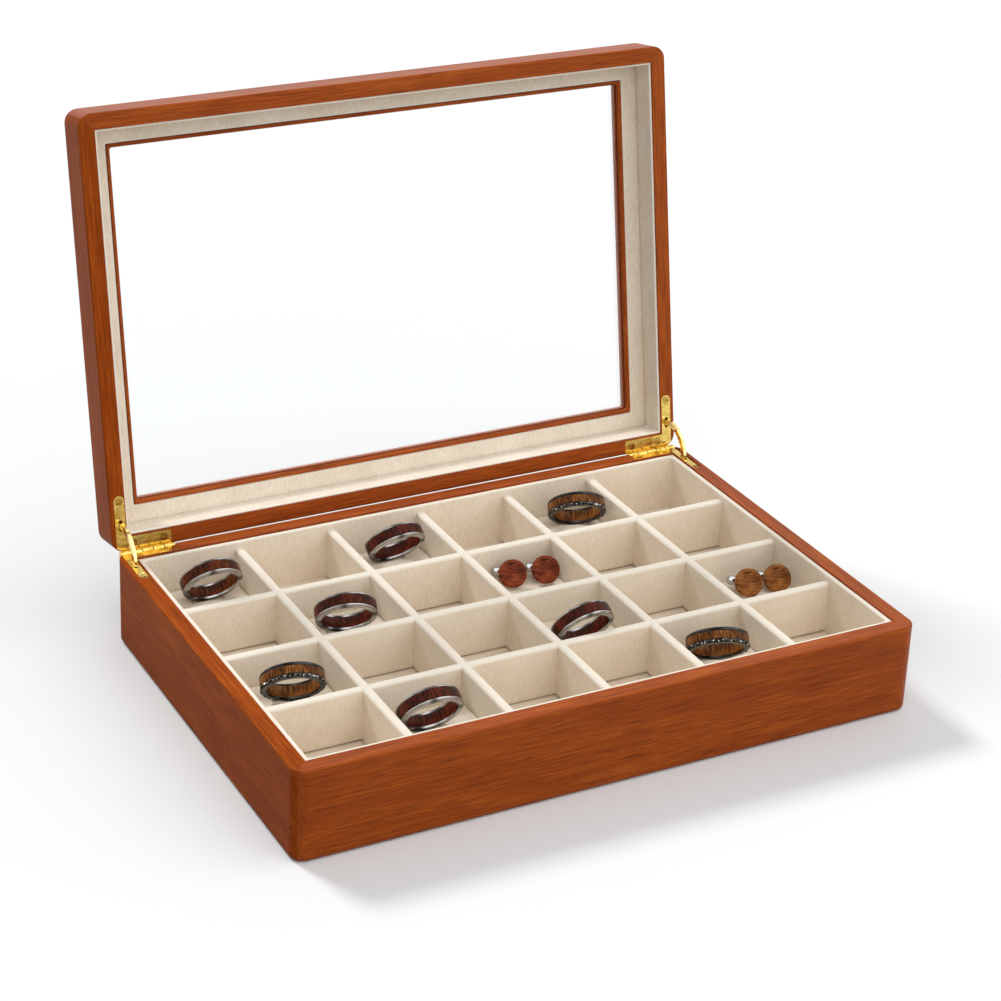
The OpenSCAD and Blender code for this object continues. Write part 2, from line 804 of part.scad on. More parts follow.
module stud_back(s) {
  taper = 0.6;
  body = stud_bar_left + stud_bar_right - 2 * taper;
  color("silver") stud_placed(s) {
    translate([0, 0, -stud_reach]) cylinder(d = stud_post_diameter, h = stud_arm);
    translate([0, 0, -stud_reach]) rotate([0, 0, -stud_bar_roll]) translate([-stud_bar_left, 0, 0]) along_x() {
      cylinder(r1 = stud_bar_radius - taper, r2 = stud_bar_radius, h = taper);
      translate([0, 0, taper]) cylinder(r = stud_bar_radius, h = body);
      translate([0, 0, taper + body]) cylinder(r1 = stud_bar_radius, r2 = stud_bar_radius - taper, h = taper);
    }
  }
}

base_rail(0);  // base_front_rail
base_rail(1);  // base_right_rail
base_rail(2);  // base_back_rail
base_rail(3);  // base_left_rail
base_bottom_panel();
base_felt();
floor_pad();
lining(0);  // lining_front
lining(1);  // lining_right
lining(2);  // lining_back
lining(3);  // lining_left
for (i = [1:columns - 1]) {
  column_divider(i);
}
for (j = [1:rows - 1]) {
  row_divider(j);
}
display_pads();
hinge_base_leaf_left();
hinge_base_leaf_right();
hinge_pins();
base_hinge_screws();
lid_rail(0);  // lid_front_rail
lid_rail(1);  // lid_right_rail
lid_rail(2);  // lid_back_rail
lid_rail(3);  // lid_left_rail
lid_glass();
lid_lining_panel();
lid_lining_walls();
hinge_lid_leaf_left();
hinge_lid_leaf_right();
lid_hinge_screws();
stay_left();
stay_right();
for (i = [1:len(RINGS)]) {
  ring_band(RINGS[i - 1]);
  ring_wood(RINGS[i - 1]);
}
for (i = [1:len(STUDS)]) {
  stud_face(STUDS[i - 1]);
  stud_back(STUDS[i - 1]);
}
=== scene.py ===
import json
import math
from collections import namedtuple

import bmesh
import bpy
from mathutils import Matrix, Vector, noise

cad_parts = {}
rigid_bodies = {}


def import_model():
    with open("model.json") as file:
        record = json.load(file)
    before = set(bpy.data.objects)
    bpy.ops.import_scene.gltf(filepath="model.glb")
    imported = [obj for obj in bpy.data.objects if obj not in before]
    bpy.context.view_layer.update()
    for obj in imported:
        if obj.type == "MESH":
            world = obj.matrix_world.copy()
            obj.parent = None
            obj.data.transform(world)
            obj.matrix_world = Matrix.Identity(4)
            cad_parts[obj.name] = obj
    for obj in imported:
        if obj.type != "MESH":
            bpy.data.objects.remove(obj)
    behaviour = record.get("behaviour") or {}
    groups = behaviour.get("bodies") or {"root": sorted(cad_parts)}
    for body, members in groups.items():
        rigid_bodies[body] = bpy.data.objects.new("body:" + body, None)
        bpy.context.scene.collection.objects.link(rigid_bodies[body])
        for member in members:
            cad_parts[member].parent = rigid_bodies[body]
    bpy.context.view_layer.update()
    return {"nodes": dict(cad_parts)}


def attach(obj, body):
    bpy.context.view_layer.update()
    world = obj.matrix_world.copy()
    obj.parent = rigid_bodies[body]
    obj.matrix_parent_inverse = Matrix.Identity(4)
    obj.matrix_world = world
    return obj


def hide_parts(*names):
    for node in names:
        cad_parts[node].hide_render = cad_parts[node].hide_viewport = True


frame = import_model()

# ---- Sizes, in metres, in the part's frame: X right, Y back, Z up ----

MM = 0.001

case_width = 240 * MM
case_depth = 162 * MM
base_height = 34.5 * MM
rail_thickness = 6 * MM
inner_width = case_width - 2 * rail_thickness
inner_depth = case_depth - 2 * rail_thickness

felt_thickness = 1 * MM
felt_size = (233 * MM, 155 * MM)
panel_top = 5 * MM
floor_top = 12.3 * MM
display_top = 19.5 * MM
divider_top = base_height - 3 * MM
lining_top = base_height - 0.5 * MM
lining_thickness = 2 * MM
lined_width = inner_width - 2 * lining_thickness
lined_depth = inner_depth - 2 * lining_thickness

columns = 6
rows = 4
column_pitch = lined_width / columns
row_pitch = lined_depth / rows
divider_thickness = 3.4 * MM
divider_fit = 0.1 * MM
lap_height = (floor_top + divider_top) / 2
pad_fit = 0.2 * MM

lid_rim = base_height + 0.3 * MM
holding_bottom = 46.4 * MM
holding_top = 47.4 * MM
glass_size = (227.6 * MM, 149.6 * MM)
panel_opening = (213 * MM, 135 * MM)
panel_opening_radius = 0.3 * MM
window_size = (209.8 * MM, 131.8 * MM)
window_radius = 1 * MM
lid_lining_thickness = 0.9 * MM
lid_strip_gap = 0.25 * MM
lid_lining_bottom = lid_rim + 0.6 * MM

open_angle = math.radians(100)
base_leaf_top = base_height - 0.6 * MM
barrel_radius = 1.5 * MM
barrel_outer = 118 * MM
barrel_length = 21 * MM
knuckles = 5
knuckle_gap = 0.2 * MM
knuckle_joint_half = 0.17 * MM
knuckle_joint_bore = 1.30 * MM
hinge_axis = Vector((0, 81.5 * MM, 32.95 * MM))
screw_columns = (100 * MM, 112 * MM)
arm_screw = (116.3 * MM, 61.5 * MM)
base_screw_row = 77.6 * MM
lid_screw_row = 78 * MM
screw_rim_inner = 1.27 * MM
screw_rim_outer = 1.44 * MM
screw_rim_top = 0.012 * MM
screw_rim_foot = -0.03 * MM

ring_radius = 11.25 * MM
ring_half_width = 2.8 * MM
ring_bore = 9.05 * MM
ring_sink = 0.8 * MM
black_ring_trim = 0.12 * MM
facets_round = 46
facet_size = 0.74 * MM
inlay_half = 1.85 * MM
narrow_inlay_half = 1.5 * MM
inlay_depth = 0.6 * MM
sleeve_half = 2.1 * MM
sleeve_thickness = 0.4 * MM
bevel = 0.5 * MM

stud_radius = 5.3 * MM
stud_face_thickness = 2.2 * MM
stud_reach = 6.5 * MM
stud_turn = math.radians(-12)
stud_bar_roll = math.radians(18)
stud_bar_radius = 1.8 * MM
stud_bar_left = 6.5 * MM
stud_bar_right = 2.5 * MM
stud_gap = 0.1 * MM

# Lean and turn are in degrees, places in the compartment in millimetres
Ring = namedtuple("Ring", "column row lean turn place metal wood")
Stud = namedtuple("Stud", "column row place wood")
RINGS = [
    Ring(0, 0, 34.0, -2.1, (1.4, 3.2), "bright", "brown"),
    Ring(2, 0, 38.6, 2.0, (1.4, 4.3), "bright", "red"),
    Ring(4, 0, 42.6, -19.3, (4.1, 2.9), "black", "light"),
    Ring(1, 1, 36.4, -14.9, (-1.1, -1.2), "bright", "red"),
    Ring(0, 2, 37.5, -15.8, (-0.6, -1.3), "black", "light"),
    Ring(3, 2, 31.4, 2.5, (-2.7, -6.5), "bright", "red"),
    Ring(1, 3, 32.3, -2.7, (-3.5, 0.2), "bright", "red"),
    Ring(4, 3, 43.9, -20.5, (-2.3, 0.4), "black", "light"),
]
STUDS = [
    Stud(3, 1, (-3.6, 6.8), "red"),
    Stud(3, 1, (9.2, 4.7), "red"),
    Stud(5, 2, (-1.0, 2.2), "brown"),
    Stud(5, 2, (10.7, 0.9), "brown"),
]


def column_edge(i):
    """X of the wall to the left of a column."""
    return -lined_width / 2 + i * column_pitch


def row_edge(j):
    """Y of the wall behind a row."""
    return lined_depth / 2 - j * row_pitch


def in_cell(piece):
    """Where a ring or stud stands, in X and Y."""
    x = column_edge(piece.column + 0.5) + piece.place[0] * MM
    y = row_edge(piece.row + 0.5) + piece.place[1] * MM
    return x, y


def cell_box(column, row):
    """A compartment's inner corners, between its walls."""
    half = divider_thickness / 2
    left = column_edge(column) + (half if column else 0)
    right = column_edge(column + 1) - (half if column + 1 < columns else 0)
    back = row_edge(row) - (half if row else 0)
    front = row_edge(row + 1) + (half if row + 1 < rows else 0)
    return (left, front), (right, back)


# ---- Camera, light and floor ----

CAMERA_PLACE = (-0.4085, -0.7229, 0.4811)
CAMERA_AIM = (27.607, 23.557, 2.006)
CAMERA_LENS = 94.17
CAMERA_SHIFT = (0.0575, -0.1306)

# The grey light of the surroundings, and how much weaker it is from the left than from above
AMBIENT = 0.46
AMBIENT_SLANT = 0.45

# Direction towards the light, strength, spread in degrees
KEY_LIGHT = ((-11, 32, 34.5), 1.67, 14)
FILL_LIGHT = ((28, -78, 60), 1.78, 115)

FLOOR_REACH = 4.0
FLOOR_LIT = (0.850, 0.866, 0.871)
FLOOR_BOUNCE = (0.27, 0.27, 0.27)


def turned(azimuth, elevation, roll):
    """A camera's right, up and back axes, from angles in degrees."""
    a, e = math.radians(azimuth), math.radians(elevation)
    ahead = Vector((math.sin(a) * math.cos(e), math.cos(a) * math.cos(e), -math.sin(e)))
    level = Vector((math.cos(a), -math.sin(a), 0))
    upright = level.cross(ahead)
    c, s = math.cos(math.radians(roll)), math.sin(math.radians(roll))
    right = c * level + s * upright
    up = c * upright - s * level
    return Matrix((right, up, -ahead)).transposed()


def make_camera():
    """A long lens from the front left, above the case."""
    data = bpy.data.cameras.new("camera")
    data.sensor_width = 36
    data.lens = CAMERA_LENS
    data.shift_x, data.shift_y = CAMERA_SHIFT
    data.clip_start = 0.05
    camera = bpy.data.objects.new("camera", data)
    camera.matrix_world = Matrix.Translation(CAMERA_PLACE) @ turned(*CAMERA_AIM).to_4x4()
    bpy.context.scene.collection.objects.link(camera)
    bpy.context.scene.camera = camera


def make_sun(name, towards_light, strength, spread):
    data = bpy.data.lights.new(name, "SUN")
    data.energy = strength
    data.angle = math.radians(spread)
    sun = bpy.data.objects.new(name, data)
    sun.rotation_mode = "QUATERNION"
    sun.rotation_quaternion = Vector(towards_light).to_track_quat("Z", "Y")
    bpy.context.scene.collection.objects.link(sun)


# ---- Shader maths ----


def set_stops(ramp, stops):
    """Gives a colour ramp its stops, each a position and a colour."""
    for i, (position, colour) in enumerate(stops):
        stop = ramp.elements[i] if i < 2 else ramp.elements.new(position)
        stop.position = position
        stop.color = (*colour, 1)


def add_node(tree, kind, settings, sockets):
    """A node of that kind, its settings made first, then its sockets linked or set."""
    made = tree.nodes.new(kind)
    for key, setting in (settings or {}).items():
        if key == "stops":
            set_stops(made.color_ramp, setting)
        else:
            setattr(made, key, setting)
    for key, given in (sockets or {}).items():
        socket = made.inputs[key]
        if isinstance(given, bpy.types.NodeSocket):
            tree.links.new(given, socket)
        elif socket.type == "RGBA":
            socket.default_value = (*given, 1)
        else:
            socket.default_value = given
    return made


class Value:
    """A shader socket that takes part in arithmetic."""

    def __init__(self, finish, socket):
        self.finish = finish
        self.socket = socket

    def math(self, operation, *others):
        settings = {"operation": operation}
        return self.finish.node("Math", settings, dict(enumerate((self, *others))))

    def __add__(self, other):
        return self.math("ADD", other)

    def __sub__(self, other):
        return self.math("SUBTRACT", other)

    def __mul__(self, other):
        return self.math("MULTIPLY", other)

    __radd__ = __add__
    __rmul__ = __mul__

    def between(self, low, high):
        """0 below low, 1 above high, smooth between."""
        settings = {"interpolation_type": "SMOOTHSTEP"}
        sockets = {"Value": self, "From Min": low, "From Max": high}
        return self.finish.node("MapRange", settings, sockets)


class Finish:
    """A material, or a world, and the nodes that make it."""

    def __init__(self, name, world=None):
        self.owner = world or bpy.data.materials.new(name)
        self.owner.use_nodes = True
        self.tree = self.owner.node_tree
        self.tree.nodes.clear()

    def node(self, kind, settings=None, sockets=None, output=0):
        """A shader node, whose sockets take values, numbers or colours; gives one of its outputs."""
        plain = {k: v.socket if isinstance(v, Value) else v for k, v in (sockets or {}).items()}
        made = add_node(self.tree, "ShaderNode" + kind, settings, plain)
        return None if output is None else Value(self, made.outputs[output])

    def mix(self, amount, first, second):
        return self.node("Mix", {"data_type": "RGBA"}, {0: amount, 6: first, 7: second}, 2)

    def millimetres(self, origin=(0, 0, 0), turn=(0, 0, 0)):
        """Object coordinates about a point, turned back and in millimetres."""
        where = self.node("TexCoord", output=3)
        sockets = {"Vector": where, "Location": origin, "Rotation": turn, "Scale": (MM, MM, MM)}
        return self.node("Mapping", {"vector_type": "TEXTURE"}, sockets)

    def noise(self, vector, scale, detail=2.0, roughness=0.5, distortion=0.0):
        """Noise with its own scale along each direction, in cycles per millimetre."""
        stretched = self.node("Mapping", None, {"Vector": vector, "Scale": scale})
        sockets = {
            "Vector": stretched, "Scale": 1.0,
            "Detail": detail, "Roughness": roughness, "Distortion": distortion,
        }
        return self.node("TexNoise", {"noise_dimensions": "3D"}, sockets)

    def bump(self, height, depth):
        """A normal from a height of 0 to 1, with the depth in millimetres."""
        return self.node("Bump", None, {"Height": height, "Distance": depth * MM, "Strength": 1.0})

    def seen(self):
        """1 for camera, glossy and transmitted rays, 0 for all others."""
        camera, glossy, through = (self.node("LightPath", output=i) for i in (0, 3, 6))
        return camera.math("MAXIMUM", glossy).math("MAXIMUM", through)

    def blend(self, amount, first, second):
        return self.node("MixShader", None, {0: amount, 1: first, 2: second})

    def principled(self, **sockets):
        named = {key.replace("_", " "): given for key, given in sockets.items()}
        return self.surface(self.node("BsdfPrincipled", None, named))

    def surface(self, shader, output="OutputMaterial"):
        """Ends the tree with that shader and returns what it belongs to."""
        self.node(output, None, {"Surface": shader}, None)
        return self.owner


def srgb(red, green, blue):
    """A colour written as on a screen, 0 to 255, made linear."""
    return tuple(
        c / 12.92 if c <= 0.04045 else ((c + 0.055) / 1.055) ** 2.4
        for c in (red / 255, green / 255, blue / 255)
    )


# ---- Materials ----

WOOD_TONES = (srgb(126, 53, 14), srgb(157, 71, 20), srgb(186, 96, 33))
WOOD_PORES = srgb(92, 38, 14)
WOOD_GLOSS = 0.17
WARM_GLOSS = (1.0, 0.72, 0.50)


def lacquered_wood(name, turn, seed, gloss=WOOD_GLOSS):
    """Satin lacquered hardwood whose grain runs along the turned X."""
    dark, middle, light = WOOD_TONES
    f = Finish(name)
    where = f.millimetres(turn=turn, origin=(seed * MM, seed * MM, 0))
    broad = f.noise(where, (0.010, 0.08, 0.08), 3.0, 0.55, 0.8)
    mottle = f.noise(where, (0.04, 0.22, 0.22), 3.0, 0.6)
    fibre = f.noise(where, (0.05, 1.5, 1.5), 4.0, 0.7, 0.15)
    fine = f.noise(where, (0.14, 3.2, 3.2), 3.0, 0.6)
    pores = f.noise(where, (0.07, 2.1, 2.1), 2.0, 0.6, 0.1).between(0.52, 0.64)
    figure = broad * 0.45 + mottle * 0.25 + fibre * 0.70 + fine * 0.25 - 0.325
    stops = [(0.26, dark), (0.50, middle), (0.74, light)]
    stained = f.node("ValToRGB", {"stops": stops}, {0: figure})
    colour = f.mix(pores * 0.50, stained, WOOD_PORES)
    height = fibre * 0.35 - pores * 0.65
    return f.principled(
        Base_Color=colour,
        Roughness=0.34 + fibre * 0.14,
        Normal=f.bump(height, 0.03),
        Specular_IOR_Level=gloss,
        Specular_Tint=WARM_GLOSS,
    )


def suede(name, colour, shade, crest):
    """Fine napped lining with faint upright fibres, and a painted highlight on the crests of its edges.
    """
    f = Finish(name)
    where = f.millimetres()
    fibre = f.noise(where, (1.1, 1.1, 0.4), 3.0, 0.65)
    nap = f.noise(where, (2.2, 2.2, 2.2), 3.0, 0.7)
    cloud = f.noise(where, (0.07, 0.07, 0.07), 3.0, 0.55)
    tint = fibre * 0.40 + nap * 0.35 + cloud * 0.25
    mixed = f.mix(tint.between(0.3, 0.7), shade, colour)
    # Painted highlight: the crest colour is laid over the nap where an edge's crest would catch the
    # light
    painted_highlight = f.node("Attribute", {"attribute_name": "crest"}, None, 2)
    return f.principled(
        Base_Color=f.mix(painted_highlight * (0.75 + nap * 0.25), mixed, crest),
        Roughness=0.84 + nap * 0.12,
        Normal=f.bump(nap * 0.7 + fibre * 0.3, 0.10),
        Sheen_Weight=0.15,
        Sheen_Roughness=0.5,
        Specular_IOR_Level=0.12,
    )


def brass(name, dark, light, roughness):
    """Polished brass with a faint drawn grain, patches of a darker and a lighter tone, and small scuffs
    in its roughness.
    """
    f = Finish(name)
    where = f.millimetres()
    drawn = f.noise(where, (0.5, 7.0, 7.0), 2.0, 0.6)
    marks = f.noise(where, (0.35, 0.9, 0.9), 3.0, 0.6)
    scuffs = f.noise(where, (0.3, 2.6, 2.6), 3.0, 0.6).between(0.60, 0.74)
    return f.principled(
        Base_Color=f.mix(marks.between(0.3, 0.7), dark, light),
        Metallic=1.0,
        Roughness=roughness + scuffs * 0.16,
        Normal=f.bump(drawn, 0.0014),
    )


def ring_place_node(f):
    """Ring or stud coordinates in millimetres, kept on the mesh."""
    return f.node("Attribute", {"attribute_name": "own_place"}, None, 1)


def steel(name, dark, light, roughness):
    """Turned steel: fine lines run round the piece, across broad dark and bright patches of painted
    reflection.
    """
    f = Finish(name)
    where = ring_place_node(f)
    lines = f.noise(where, (0.2, 0.2, 9.0), 2.0, 0.6)
    # Painted reflection: broad dark and bright patches stand in for what the polished metal mirrors
    painted_reflection = f.noise(where, (0.11, 0.11, 0.05), 2.0, 0.5)
    return f.principled(
        Base_Color=f.mix(painted_reflection.between(0.40, 0.58), dark, light),
        Metallic=1.0,
        Roughness=roughness + lines * 0.08,
        Normal=f.bump(lines, 0.0014),
    )


def beaten_steel(name, dark, light, roughness):
    """Blackened steel whose beaten facets carry painted glints here and there."""
    f = Finish(name)
    where = ring_place_node(f)
    # Painted glints: sharp patches of the light colour over the dark steel
    painted_highlight = f.noise(where, (1.5, 1.5, 1.5), 2.0, 0.6).between(0.52, 0.60)
    fine = f.noise(where, (5.0, 5.0, 5.0), 2.0, 0.6)
    return f.principled(
        Base_Color=f.mix(painted_highlight, dark, light),
        Metallic=1.0,
        Roughness=roughness + fine * 0.12,
        Normal=f.bump(fine, 0.004),
    )


def along_axis(axis, along, across):
    """A noise scale that differs along one axis, which is the grain's."""
    return tuple(along if i == axis else across for i in range(3))


def inlay_wood(name, dark, middle, light, streak, grain=2):
    """Polished wood with short streaks along one axis of its piece: Z is across a ring's band."""
    f = Finish(name)
    where = ring_place_node(f)
    streaks = f.noise(where, along_axis(grain, 0.26, 1.5), 3.0, 0.65, 0.6)
    cloud = f.noise(where, (0.16, 0.16, 0.16), 2.0, 0.5)
    figure = streaks * 0.85 + cloud * 0.45 - 0.15
    stops = [(0.34, dark), (0.50, middle), (0.68, light)]
    stained = f.node("ValToRGB", {"stops": stops}, {0: figure})
    pores = f.noise(where, along_axis(grain, 0.5, 4.0), 2.0, 0.5).between(0.56, 0.70)
    return f.principled(
        Base_Color=f.mix(pores * streak, stained, dark),
        Roughness=0.30 + streaks * 0.14,
        Normal=f.bump(streaks - pores, 0.015),
        Specular_IOR_Level=0.13,
        Specular_Tint=WARM_GLOSS,
    )


def clear_glass(name):
    """Clear sheet glass with hardly visible wipe marks."""
    f = Finish(name)
    wipes = f.noise(f.millimetres(), (0.02, 0.06, 0.06), 3.0, 0.6)
    return f.principled(
        Base_Color=srgb(250, 254, 252),
        Roughness=wipes * 0.04,
        IOR=1.46,
        Transmission_Weight=1.0,
        Alpha=0.12,
    )


def dark_felt(name):
    """Matted felt with loose hairs."""
    f = Finish(name)
    where = f.millimetres()
    tufts = f.noise(where, (2.4, 2.4, 2.4), 3.0, 0.7)
    hairs = f.noise(where, (0.8, 6.0, 3.0), 2.0, 0.6, 1.2)
    return f.principled(
        Base_Color=f.mix(tufts * 0.6 + hairs * 0.4, srgb(52, 44, 40), srgb(96, 84, 76)),
        Roughness=0.95,
        Normal=f.bump(tufts + hairs, 0.12),
        Sheen_Weight=0.3,
        Specular_IOR_Level=0.1,
    )


def white_floor():
    """Pale floor that keeps a soft shadow and shows white where it is lit."""
    f = Finish("pale_floor")
    matte = f.node("BsdfDiffuse", None, {"Color": FLOOR_BOUNCE})
    white = f.node("BsdfDiffuse", None, {"Color": FLOOR_LIT})
    return f.surface(f.blend(f.seen(), matte, white))


def make_floor():
    mesh = bpy.data.meshes.new("floor")
    r = FLOOR_REACH
    mesh.from_pydata([(-r, -r, 0), (r, -r, 0), (r, r, 0), (-r, r, 0)], [], [(0, 1, 2, 3)])
    floor = bpy.data.objects.new("floor", mesh)
    bpy.context.scene.collection.objects.link(floor)
    mesh.materials.append(white_floor())


def make_world():
    """White where it is seen or mirrored, and a grey light, weaker from the left, on matt surfaces."""
    world = bpy.data.worlds.new("studio")
    bpy.context.scene.world = world
    f = Finish("studio", world)

    def glow(strength):
        return f.node("Background", None, {"Color": (1, 1, 1), "Strength": strength})

    across = f.node("SeparateXYZ", None, {0: f.node("TexCoord")})
    left, right = (glow(AMBIENT * (1 + AMBIENT_SLANT * side)) for side in (-1, 1))
    plain = f.blend(across.math("MULTIPLY_ADD", 0.5, 0.5), left, right)
    f.surface(f.blend(f.seen(), plain, glow(1.0)), "OutputWorld")


# ---- Mesh making ----


def mark_crest(mesh, crest_at):
    """Stores how far each point lies on an edge's crest, 0 to 1, where the lining's painted highlight
    goes.
    """
    store = mesh.attributes.new("crest", "FLOAT", "POINT")
    for vertex, item in zip(mesh.vertices, store.data):
        item.value = min(1.0, max(0.0, crest_at(vertex.co)))


def finished(name, mesh, material, sharp=40):
    """An object from a mesh, its doubles merged, facing outwards and smooth but for sharp edges."""
    work = bmesh.new()
    work.from_mesh(mesh)
    bmesh.ops.remove_doubles(work, verts=work.verts, dist=0.0004 * MM)
    bmesh.ops.dissolve_degenerate(work, edges=work.edges, dist=0.0004 * MM)
    bmesh.ops.recalc_face_normals(work, faces=work.faces)
    work.to_mesh(mesh)
    work.free()
    mesh.shade_smooth()
    mesh.set_sharp_from_angle(angle=math.radians(sharp))
    mesh.materials.clear()
    mesh.materials.append(material)
    piece = bpy.data.objects.new(name, mesh)
    bpy.context.scene.collection.objects.link(piece)
    return piece


def joined(name, meshes):
    """Several meshes made one."""
    work = bmesh.new()
    for mesh in meshes:
        work.from_mesh(mesh)
        bpy.data.meshes.remove(mesh)
    whole = bpy.data.meshes.new(name)
    work.to_mesh(whole)
    work.free()
    return whole


def skin(name, rings):
    """A mesh from closed rings of points, each joined to the next and the last to the first."""
    count = len(rings[0])
    points = [p for ring in rings for p in ring]
    faces = []
    for i in range(len(rings)):
        a, b = i * count, (i + 1) % len(rings) * count
        for j in range(count):
            k = (j + 1) % count
            faces.append((a + j, a + k, b + k, b + j))
    mesh = bpy.data.meshes.new(name)
    mesh.from_pydata(points, [], faces)
    return mesh


def spaced(start, end, step):
    """Even steps of about that size from start to end."""
    count = max(1, round((end - start) / step))
    return [start + (end - start) * i / count for i in range(count + 1)]


def soft_noise(point, wavelength, seed=0.0):
    """Smooth noise from 0 to 1."""
    p = Vector(point) / wavelength + Vector((seed, seed, seed))
    return 0.5 + 0.5 * noise.noise(p)


def loop_points(half_width, half_depth, radius, corner_steps=6, step=3 * MM):
    """Points round a rounded rectangle, the same number for any size near it."""
    straight_x = max(1, round((case_width / 2 - 20 * MM) * 2 / step))
    straight_y = max(1, round((case_depth / 2 - 20 * MM) * 2 / step))
    corners = []
    for n, (sx, sy) in enumerate([(1, -1), (1, 1), (-1, 1), (-1, -1)]):
        centre = (sx * (half_width - radius), sy * (half_depth - radius))
        corners.append(arc(centre, radius, 90 * n - 90, 90 * n, corner_steps))
    path = []
    for n, corner in enumerate(corners):
        path += corner
        start, end = corner[-1], corners[(n + 1) % 4][0]
        count = straight_y if n % 2 == 0 else straight_x
        for i in range(1, count):
            t = i / count
            path.append((start[0] + (end[0] - start[0]) * t, start[1] + (end[1] - start[1]) * t))
    return path


def loop_swept(name, section, ripple=0.0, wavelength=9 * MM):
    """A closed frame from a section of (half width, half depth, radius, height) points."""
    low = min(z for w, d, r, z in section)
    high = max(z for w, d, r, z in section)
    rings = []
    for w, d, r, z in section:
        share = ripple * (z - low) / (high - low)
        rings.append([
            (x, y, z - share * soft_noise((x, y, 0), wavelength)) for x, y in loop_points(w, d, r)
        ])
    return skin(name, rings)


def opened(mesh):
    """Turns a mesh made for the closed lid to the open lid's place."""
    turn = Matrix.Rotation(-open_angle, 4, "X")
    mesh.transform(Matrix.Translation(hinge_axis) @ turn @ Matrix.Translation(-hinge_axis))
    return mesh


def arc(centre, radius, start, end, steps):
    """Points on an arc in a section, angles in degrees."""
    return [
        (
            centre[0] + radius * math.cos(math.radians(start + (end - start) * i / steps)),
            centre[1] + radius * math.sin(math.radians(start + (end - start) * i / steps)),
        )
        for i in range(steps + 1)
    ]


def height_slab(name, low, high, bottom, top_at, step, edge):
    """A closed slab whose top follows a rule, with its side edges rolled by edge."""
    xs, ys = spaced(low[0], high[0], step), spaced(low[1], high[1], step)
    nx, ny = len(xs), len(ys)
    points = [(x, y, top_at(x, y)) for y in ys for x in xs]
    faces = [
        (j * nx + i, j * nx + i + 1, (j + 1) * nx + i + 1, (j + 1) * nx + i)
        for j in range(ny - 1) for i in range(nx - 1)
    ]
    rim = list(range(nx)) + [j * nx + nx - 1 for j in range(1, ny)]
    rim += [(ny - 1) * nx + i for i in range(nx - 2, -1, -1)] + [j * nx for j in range(ny - 2, 0, -1)]
    last = rim
    for level in (0.5, 1.0):
        start = len(points)
        for r in rim:
            x, y, z = points[r]
            z = z + (bottom - z) * level
            pull = edge * 0.5 * (1 - abs(2 * level - 1))
            cx = x - math.copysign(pull, x - (low[0] + high[0]) / 2)
            cy = y - math.copysign(pull, y - (low[1] + high[1]) / 2)
            points.append((cx, cy, z))
        ring = list(range(start, start + len(rim)))
        count = len(rim)
        faces += [(last[k], ring[k], ring[(k + 1) % count], last[(k + 1) % count]) for k in range(count)]
        last = ring
    faces.append(tuple(last))
    mesh = bpy.data.meshes.new(name)
    mesh.from_pydata(points, [], faces)
    return mesh


# ---- Geometry nodes ----


class Growth:
    """A geometry node tree with named inputs."""

    def __init__(self, name, inputs):
        self.tree = bpy.data.node_groups.new(name, "GeometryNodeTree")
        face = self.tree.interface
        face.new_socket("Geometry", in_out="INPUT", socket_type="NodeSocketGeometry")
        self.ids = {}
        for label, kind in inputs.items():
            socket = face.new_socket(label, in_out="INPUT", socket_type="NodeSocket" + kind)
            self.ids[label] = socket.identifier
        face.new_socket("Geometry", in_out="OUTPUT", socket_type="NodeSocketGeometry")
        self.given = self.tree.nodes.new("NodeGroupInput").outputs
        self.out = self.tree.nodes.new("NodeGroupOutput").inputs[0]

    def node(self, kind, settings=None, sockets=None, output=0):
        """One output of a new node, whose kind is a geometry node's unless it says otherwise."""
        if not kind.startswith(("Shader", "Function")):
            kind = "GeometryNode" + kind
        return add_node(self.tree, kind, settings, sockets).outputs[output]

    def math(self, operation, first, second):
        return self.node("ShaderNodeMath", {"operation": operation}, {0: first, 1: second})

    def vector(self, **parts):
        return self.node("ShaderNodeCombineXYZ", None, parts)

    def drawn(self, curve, section):
        """A solid drawn along a curve."""
        sockets = {"Curve": curve, "Profile Curve": section, "Fill Caps": True}
        return self.node("CurveToMesh", None, sockets)

    def covered(self, geometry, material):
        """Ends the tree with the geometry made real and given its material."""
        real = self.node("RealizeInstances", None, {"Geometry": geometry})
        sockets = {"Geometry": real, "Material": material}
        self.tree.links.new(self.node("SetMaterial", None, sockets), self.out)

    def grown(self, name, mesh, values):
        """The tree's result on a mesh, as a plain mesh."""
        holder = bpy.data.objects.new(name, mesh)
        bpy.context.scene.collection.objects.link(holder)
        modifier = holder.modifiers.new("grow", "NODES")
        modifier.node_group = self.tree
        for label, value in values.items():
            modifier[self.ids[label]] = value
        bpy.context.view_layer.update()
        ready = holder.evaluated_get(bpy.context.evaluated_depsgraph_get())
        result = bpy.data.meshes.new_from_object(ready)
        holder.modifiers.clear()
        bpy.data.objects.remove(holder)
        result.name = name
        return result


# ---- What each piece is and does ----


def declare(piece, body, slot_name, *nodes):
    """Says which body a piece rides on and hides the solids it stands for; the slot name is not used."""
    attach(piece, body)
    if nodes:
        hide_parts(*nodes)


def declare_soft(piece, body, slot_name, fill, *nodes):
    declare(piece, body, slot_name, *nodes)


# ---- Padded dividers ----

BOARD_ROLL = 0.85 * MM
BOARD_STEPS = 110


